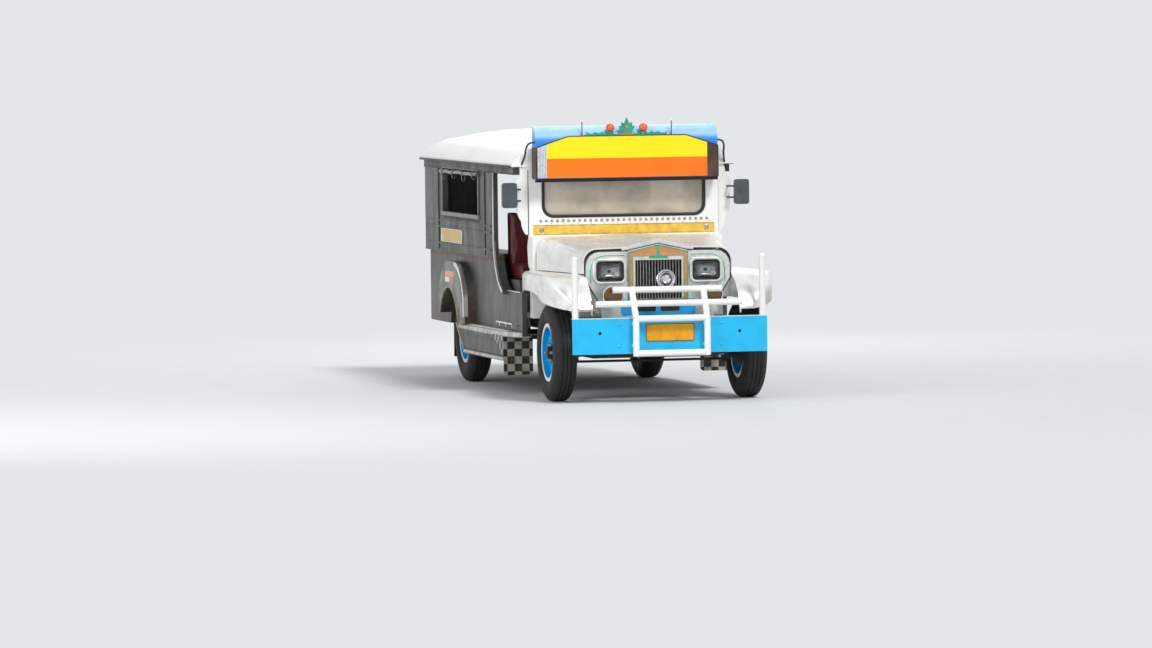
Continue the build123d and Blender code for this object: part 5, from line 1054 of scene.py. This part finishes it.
for side_name, side in sides:
    lip = [(side * (fender_bow(y) - 0.002), y, z) for y, z in skirt]
    tube("fender_lip_" + side_name, lip, 0.006, bright_trim)
    tube("board_lower_edge_" + side_name,
         [(side * (board_x - 0.002), board_back - board_slant, board_bottom + 0.010),
          (side * (board_x - 0.002), board_back - 0.002, board_top - 0.004)], 0.011, edge_beige)
    bm = bmesh.new()
    side_block(bm, side, board_x - 0.001, board_x + 0.003, (board_front + 0.002, board_bottom + 0.033),
               (board_back - board_slant, board_bottom + 0.041))
    piece("board_groove_" + side_name, bm, rubber_black)
    steps = [(board_front + 0.002, lip_top), (board_front + 0.06, lip_top)]
    steps += [(board_front + 0.06 + 0.30 * i / 5, lip_top + 0.11 * i / 5 + (0.03 if i % 2 else 0))
              for i in range(1, 6)]
    steps += [(board_front + 0.40, board_top - board_round), (board_front + 0.002, board_top - board_round)]
    plate_piece("board_chequer_" + side_name, steps, siding(side, board_x + 0.0015), 0.0025, chequer)
    bm = bmesh.new()
    side_block(bm, side, board_x - 0.001, board_x + 0.004, (board_front + 0.42, board_top - 0.085),
               (board_back - 0.14, board_top - 0.073))
    piece("board_rib_" + side_name, bm, board_steel, bevel=0.003)
    bm = bmesh.new()
    side_block(bm, side, 0.849, 0.899, (board_front + 0.02, board_top - 0.001),
               (board_back - 0.05, board_top + 0.0015))
    for x in (0.856, 0.874, 0.892):
        side_block(bm, side, x - 0.004, x + 0.004, (board_front + 0.02, board_top),
                   (board_back - 0.05, board_top + 0.005))
    piece("board_treads_" + side_name, bm, bright_trim, bevel=0.0005)
    outer, inner = [[(pod_front_y + inset, pod_low)]
                    + arc((pod_front_y + inset, pod_knee),
                          (pod_front_y + 0.112 + inset * 0.7, pod_top - 0.112 - inset * 0.7),
                          (pod_front_y + 0.385, pod_top - inset), 14) for inset in (-0.002, 0.035)]
    bm = bmesh.new()
    add_skin(bm, [[(side * x, y, z) for y, z in line] for line, x in
                  ((outer, pod_face - 0.030), (outer, pod_face + 0.0075), (inner, pod_face + 0.0075),
                   (inner, pod_face + 0.002))])
    piece("pod_band_" + side_name, bm, bright_trim)
    bm = bmesh.new()
    side_block(bm, side, side_face - 0.001, pod_face - 0.002, (pod_front_y + 0.002, board_top - 0.001),
               (pod_front_y + 0.262, pod_low + 0.002))
    piece("pod_foot_" + side_name, bm, pod_steel)
    arch_line = [(arch_y + arch_radius * cos(a), axle_z + arch_radius * sin(a))
                 for a in spread(radians(26), radians(163), radians(6))]
    tube("arch_edge_" + side_name, [(side * (pod_face - 0.004), y, z) for y, z in arch_line],
         0.010, edge_beige)
    for name, material, back, low_z, high_z, length in reflex_table:
        plate_piece(name + "_" + side_name, rounded(length / 2, (high_z - low_z) / 2, 0.006, 3,
                                                    (back - length / 2, (low_z + high_z) / 2)),
                    siding(side, pod_face + 0.0015), 0.003, material)

# Seats
# Maroon vinyl over foam on painted steel boxes. Each pad is blown up from its slightly smaller
# form in a cloth run, then sewn channels are pressed in across it.

# Leathercloth: maroon with a fine grain and a soft sheen.
maroon_vinyl = surface("maroon_vinyl", "#5a1519", "#3a0c10", 60, 0.5, (0.35, 0.55), 0, 1.2, 0.3)
# Grey floor enamel: scuffed and matt.
seat_paint = surface("floor_enamel_grey", "#6f716e", "#4c4b48", 150, 0.6, (0.5, 0.7), 0, 3, 0.15)
dress(seat_paint, "seat_boxes", "floor_pan")
pad_table = [                 # name, low corner, high corner, axis it faces, axis the channels repeat on
    ("bench_left", (0.430, -0.0125, 1.010), (0.800, 2.4975, 1.095), 2, 1),
    ("bench_right", (-0.800, -0.0125, 1.010), (-0.430, 2.4975, 1.095), 2, 1),
    ("bench_back_left", (0.785, -0.0125, 1.120), (0.840, 2.4975, 1.380), 0, 1),
    ("bench_back_right", (-0.840, -0.0125, 1.120), (-0.785, 2.4975, 1.380), 0, 1),
    ("front_cushion", (-0.760, -0.6625, 0.900), (0.760, -0.1945, 1.030), 2, 0),
    ("front_back", (-0.760, -0.2125, 0.902), (0.760, -0.0825, 1.450), 1, 0),
]
pad_voxel = 0.016
pad_swell = 0.022
pad_edge_gap, pad_face_gap = 0.004, 0.012
channel_pitch = 0.24
channel_depth, channel_half = 0.009, 0.016
cloth_frames = 20


def padded_piece(name, low, high, face_axis, channel_axis):
    """One cushion: a box a little small, swollen by pressure, with channels sewn across it."""
    shrink = [pad_edge_gap] * 3
    shrink[face_axis] = pad_face_gap
    small_low = [a + s for a, s in zip(low, shrink)]
    small_high = [b - s for b, s in zip(high, shrink)]
    bm = bmesh.new()
    add_block(bm, small_low, small_high)
    made = piece(name, bm, maroon_vinyl)
    remesh = made.modifiers.new("voxels", "REMESH")
    remesh.mode = "VOXEL"
    remesh.voxel_size = pad_voxel
    soften = made.modifiers.new("soften", "SMOOTH")
    soften.iterations = 4
    view = bpy.context.evaluated_depsgraph_get()
    formed = bpy.data.meshes.new_from_object(made.evaluated_get(view))
    made.modifiers.clear()
    made.data = formed
    before = [v.co.copy() for v in formed.vertices]
    cloth = made.modifiers.new("pressure", "CLOTH")
    cloth.settings.use_pressure = True
    cloth.settings.uniform_pressure_force = 4
    cloth.settings.effector_weights.gravity = 0
    for step in range(1, cloth_frames + 1):
        bpy.context.scene.frame_set(step)
    view = bpy.context.evaluated_depsgraph_get()
    moved = [v.co.copy() for v in made.evaluated_get(view).data.vertices]
    made.modifiers.clear()
    bpy.context.scene.frame_set(1)
    for vertex, start, end in zip(formed.vertices, before, moved):
        shift = end - start
        vertex.co = start + shift * min(1, pad_swell / max(shift.length, 1e-6))
    finer = made.modifiers.new("finer", "SUBSURF")
    finer.levels = finer.render_levels = 1
    view = bpy.context.evaluated_depsgraph_get()
    dense = bpy.data.meshes.new_from_object(made.evaluated_get(view))
    made.modifiers.clear()
    made.data = dense
    count = max(1, round((high[channel_axis] - low[channel_axis]) / channel_pitch))
    pitch = (high[channel_axis] - low[channel_axis]) / count
    middle = [(a + b) / 2 for a, b in zip(low, high)]
    for vertex in dense.vertices:
        place = vertex.co
        share = (place[channel_axis] - low[channel_axis]) / pitch
        near = abs(share - round(share)) * pitch
        inner = 0 < round(share) < count
        if inner and near < channel_half:
            press = channel_depth * (1 - near / channel_half) ** 2
            place[face_axis] += press if place[face_axis] < middle[face_axis] else -press
        for axis in range(3):
            place[axis] = min(max(place[axis], low[axis] + 0.001), high[axis] - 0.001)
    dense.shade_smooth()
    return made


for name, low, high, face_axis, channel_axis in pad_table:
    pad = padded_piece("pad_" + name, low, high, face_axis, channel_axis)
    if name == "bench_left":
        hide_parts("bench_pads")
    if name == "front_cushion":
        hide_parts("front_seat_pads")

# Cab
# The steering wheel is moulded in black, and three gauges in chromed rings sit in the dashboard.
# Each mirror is a slate grey moulded shell on two arms, with silvered glass in a rubber edge.

# Moulded plastic: black with a fine dull grain.
black_plastic = surface("black_plastic", "#1a1a1b", "#39393a", 60, 0.5, (0.4, 0.6), 0, 1.5, 0.15)
# Moulded shell in slate grey: a fine, half dull grain.
slate_shell = surface("mirror_shell_slate", "#4c545a", "#363c41", 70, 0.5, (0.35, 0.5), 0.1, 2, 0.1)
# Silvered glass: a clean mirror.
silvered = surface("mirror_silvering", "#e9eced", "#cfd4d6", 200, 0.3, (0.02, 0.05), 1, 6, 0.01)
# Printed dial left blank: black and matt.
gauge_face = surface("gauge_face", "#1b1c1d", "#2c2d2e", 12, 0.5, (0.3, 0.5), 0, 1, 0.05)
dress(black_plastic, "steering_wheel")
dress(slate_shell, "mirrors")
mirror_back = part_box("mirrors")[0][1] + 0.038
mirror_centre, mirror_half = (0.950, 1.600), (0.053, 0.093)
gauge_places, gauge_y, gauge_z, gauge_lean = (0.22, 0.40, 0.58), -1.0075, 1.110, (0, 1, 0.21)
for side_name, side in sides:
    place = (side * mirror_centre[0], mirror_centre[1])
    plate_piece("mirror_glass_" + side_name, rounded(*mirror_half, 0.018, 5, place),
                facing(mirror_back), 0.0012, silvered)
    edge = rounded(mirror_half[0] + 0.003, mirror_half[1] + 0.003, 0.020, 5, place)
    tube("mirror_edge_" + side_name, [(x, mirror_back + 0.001, z) for x, z in edge],
         0.004, rubber_black, closed=True)
bm = bmesh.new()
rings = bmesh.new()
for x in gauge_places:
    spot = (x, gauge_y, gauge_z)
    add_turned(bm, [(0, 0.040), (0.004, 0.040), (0.004, 0)], spot, gauge_lean, 32)
    add_turned(rings, [(0, 0.047), (0.008, 0.047), (0.010, 0.044), (0.006, 0.040)], spot, gauge_lean, 32)
piece("gauges", bm, gauge_face)
piece("gauge_rings", rings, chrome)

# Rear
# A bright bead is folded round the open doorway. Chromed grab rails stand beside it on flanged
# feet, red lamps sit in chromed rings, and the step is steel sheet with a raised tread.

# Moulded red lens: deep red and glossy.
red_lens = surface("red_lens", "#a01010", "#5c0808", 40, 0.5, (0.1, 0.25), 0, 5, 0.3, 0.5)
dress(red_lens, "tail_lamps")
dress(chrome, "grab_rails")
grab_low, grab_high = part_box("grab_rails")
grab_across = 0.420
lamp_across, tail_lamp_z = 0.610, 0.900
doorway_half, doorway_low, doorway_high = 0.330, 0.660, 1.740
tube("doorway_bead", [(x, tail_y + 0.008, z) for x, z in (
    (-doorway_half, doorway_low), (-doorway_half, doorway_high),
    (doorway_half, doorway_high), (doorway_half, doorway_low))], 0.006, bright_trim)
bm = bmesh.new()
for side in (1, -1):
    for z in (grab_low[2] + 0.012, grab_high[2] - 0.012):
        add_turned(bm, [(-0.001, 0.026), (0.004, 0.026), (0.007, 0.018), (0.007, 0.010)],
                   (side * grab_across, tail_y, z), (0, 1, 0), 28)
    add_turned(bm, [(-0.001, 0.072), (0.010, 0.072), (0.016, 0.066), (0.016, 0.060)],
               (side * lamp_across, tail_y, tail_lamp_z), (0, 1, 0), 40)
piece("rail_feet_and_lamp_rings", bm, chrome)
step_back, step_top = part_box("rear_step")[1][1], 0.430
tread_across, tread_along = 0.052, 0.045
bm = bmesh.new()
for x in spread(-0.39, 0.39, tread_across):
    for y in spread(step_back - 0.21, step_back - 0.03, tread_along):
        lean = 1 if (round(x / tread_across) + round(y / tread_along)) % 2 else -1
        add_plate(bm, [(x - 0.014, y - 0.010 * lean - 0.004), (x + 0.014, y + 0.010 * lean - 0.004),
                       (x + 0.014, y + 0.010 * lean + 0.004), (x - 0.014, y - 0.010 * lean + 0.004)],
                  lambda a, b, depth: (a, b, step_top + 0.0025 - depth), 0.003)
piece("step_tread", bm, frame_paint)

# Floor, light and camera
# A pale floor that fades into a pale background, a soft sun from the front with wide fill
# lamps, and the camera at the photograph's long lens and viewing angle.
floor_mesh = bpy.data.meshes.new("floor")
floor_half = 14
floor_mesh.from_pydata(
    [(-floor_half, -floor_half, 0), (floor_half, -floor_half, 0),
     (floor_half, floor_half, 0), (-floor_half, floor_half, 0)], [], [(0, 1, 2, 3)])
floor = bpy.data.objects.new("floor", floor_mesh)
bpy.context.collection.objects.link(floor)
backdrop_tone = "#e4e7e9"
screed_patch = 333.33        # millimetres
# Pale screed: matt, faintly cloudy, and clear far out so that it fades away.
floor_paint, tree, shader = shader_material("floor_screed_pale")
place = add_node(tree, "ShaderNodeTexCoord").outputs["Object"]
grain = add_node(tree, "ShaderNodeTexNoise", {"Vector": place, "Scale": 1000 / screed_patch, "Detail": 6})
screed = add_node(tree, "ShaderNodeMix", {
    0: grain.outputs[0], 6: linear("#e2e4e5"), 7: linear("#dadcdd")}, data_type="RGBA")
tree.links.new(screed.outputs[2], shader.inputs["Base Color"])
shader.inputs["Roughness"].default_value = 0.9
away = add_node(tree, "ShaderNodeVectorMath", {0: place}, operation="LENGTH")
fading = add_node(tree, "ShaderNodeMapRange", {
    "Value": away.outputs["Value"], "From Min": 4.5, "From Max": 12}, interpolation_type="SMOOTHSTEP")
clear = add_node(tree, "ShaderNodeBsdfTransparent")
blended = add_node(tree, "ShaderNodeMixShader", {
    0: fading.outputs[0], 1: shader.outputs[0], 2: clear.outputs[0]})
ending = [node for node in tree.nodes if node.type == "OUTPUT_MATERIAL"][0]
tree.links.new(blended.outputs[0], ending.inputs["Surface"])
floor.data.materials.append(floor_paint)

world = bpy.data.worlds.new("studio")
bpy.context.scene.world = world
world.use_nodes = True
world.node_tree.nodes.clear()
rays = add_node(world.node_tree, "ShaderNodeLightPath")
seen = rays.outputs["Is Camera Ray"]
for kind in ("Is Glossy Ray", "Is Transmission Ray"):
    seen = add_node(world.node_tree, "ShaderNodeMath", {0: seen, 1: rays.outputs[kind]},
                    operation="MAXIMUM").outputs[0]
strength = add_node(world.node_tree, "ShaderNodeMapRange", {
    "Value": seen, "To Min": 0.55, "To Max": 1.0})
sky = add_node(world.node_tree, "ShaderNodeBackground", {
    "Color": linear(backdrop_tone), "Strength": strength.outputs[0]})
add_node(world.node_tree, "ShaderNodeOutputWorld", {"Surface": sky.outputs[0]})

sun = bpy.data.lights.new("sun", "SUN")
sun.energy = 1.9
sun.angle = radians(14)
sun_holder = bpy.data.objects.new("sun", sun)
sun_holder.rotation_euler = Vector((-2.2, 6.5, -8)).to_track_quat("-Z", "Y").to_euler()
bpy.context.collection.objects.link(sun_holder)
light_table = [              # name, place, size, watts
    ("fill_left", (-9, -7, 4), 6, 360),
    ("fill_rear", (3, 10, 6), 6, 220),
]
for name, place, size, watts in light_table:
    lamp = bpy.data.lights.new(name, "AREA")
    lamp.size = size
    lamp.energy = watts
    holder = bpy.data.objects.new(name, lamp)
    holder.location = place
    holder.rotation_euler = (Vector((0, 0, 1)) - Vector(place)).to_track_quat("-Z", "Y").to_euler()
    bpy.context.collection.objects.link(holder)

camera_place = Vector((-13.355, -59.556, 3.148))
look = Vector((0.21624, 0.97539, -0.04316)).normalized()
roll = -0.012
focal_pixels, photo_width = 7500, 1152     # the lens solved from the photograph, in its pixels
film_width = 36                            # millimetres
level = look.cross(Vector((0, 0, 1))).normalized()
upright = level.cross(look)
camera_x = cos(roll) * level + sin(roll) * upright
camera_y = -sin(roll) * level + cos(roll) * upright
camera_data = bpy.data.cameras.new("camera")
camera_data.sensor_width = film_width
camera_data.lens = focal_pixels / photo_width * film_width
camera_data.clip_end = 500
camera = bpy.data.objects.new("camera", camera_data)
camera.matrix_world = Matrix((camera_x, camera_y, -look)).transposed().to_4x4()
camera.location = camera_place
bpy.context.collection.objects.link(camera)
bpy.context.scene.camera = camera
bpy.context.scene.view_settings.view_transform = "Standard"
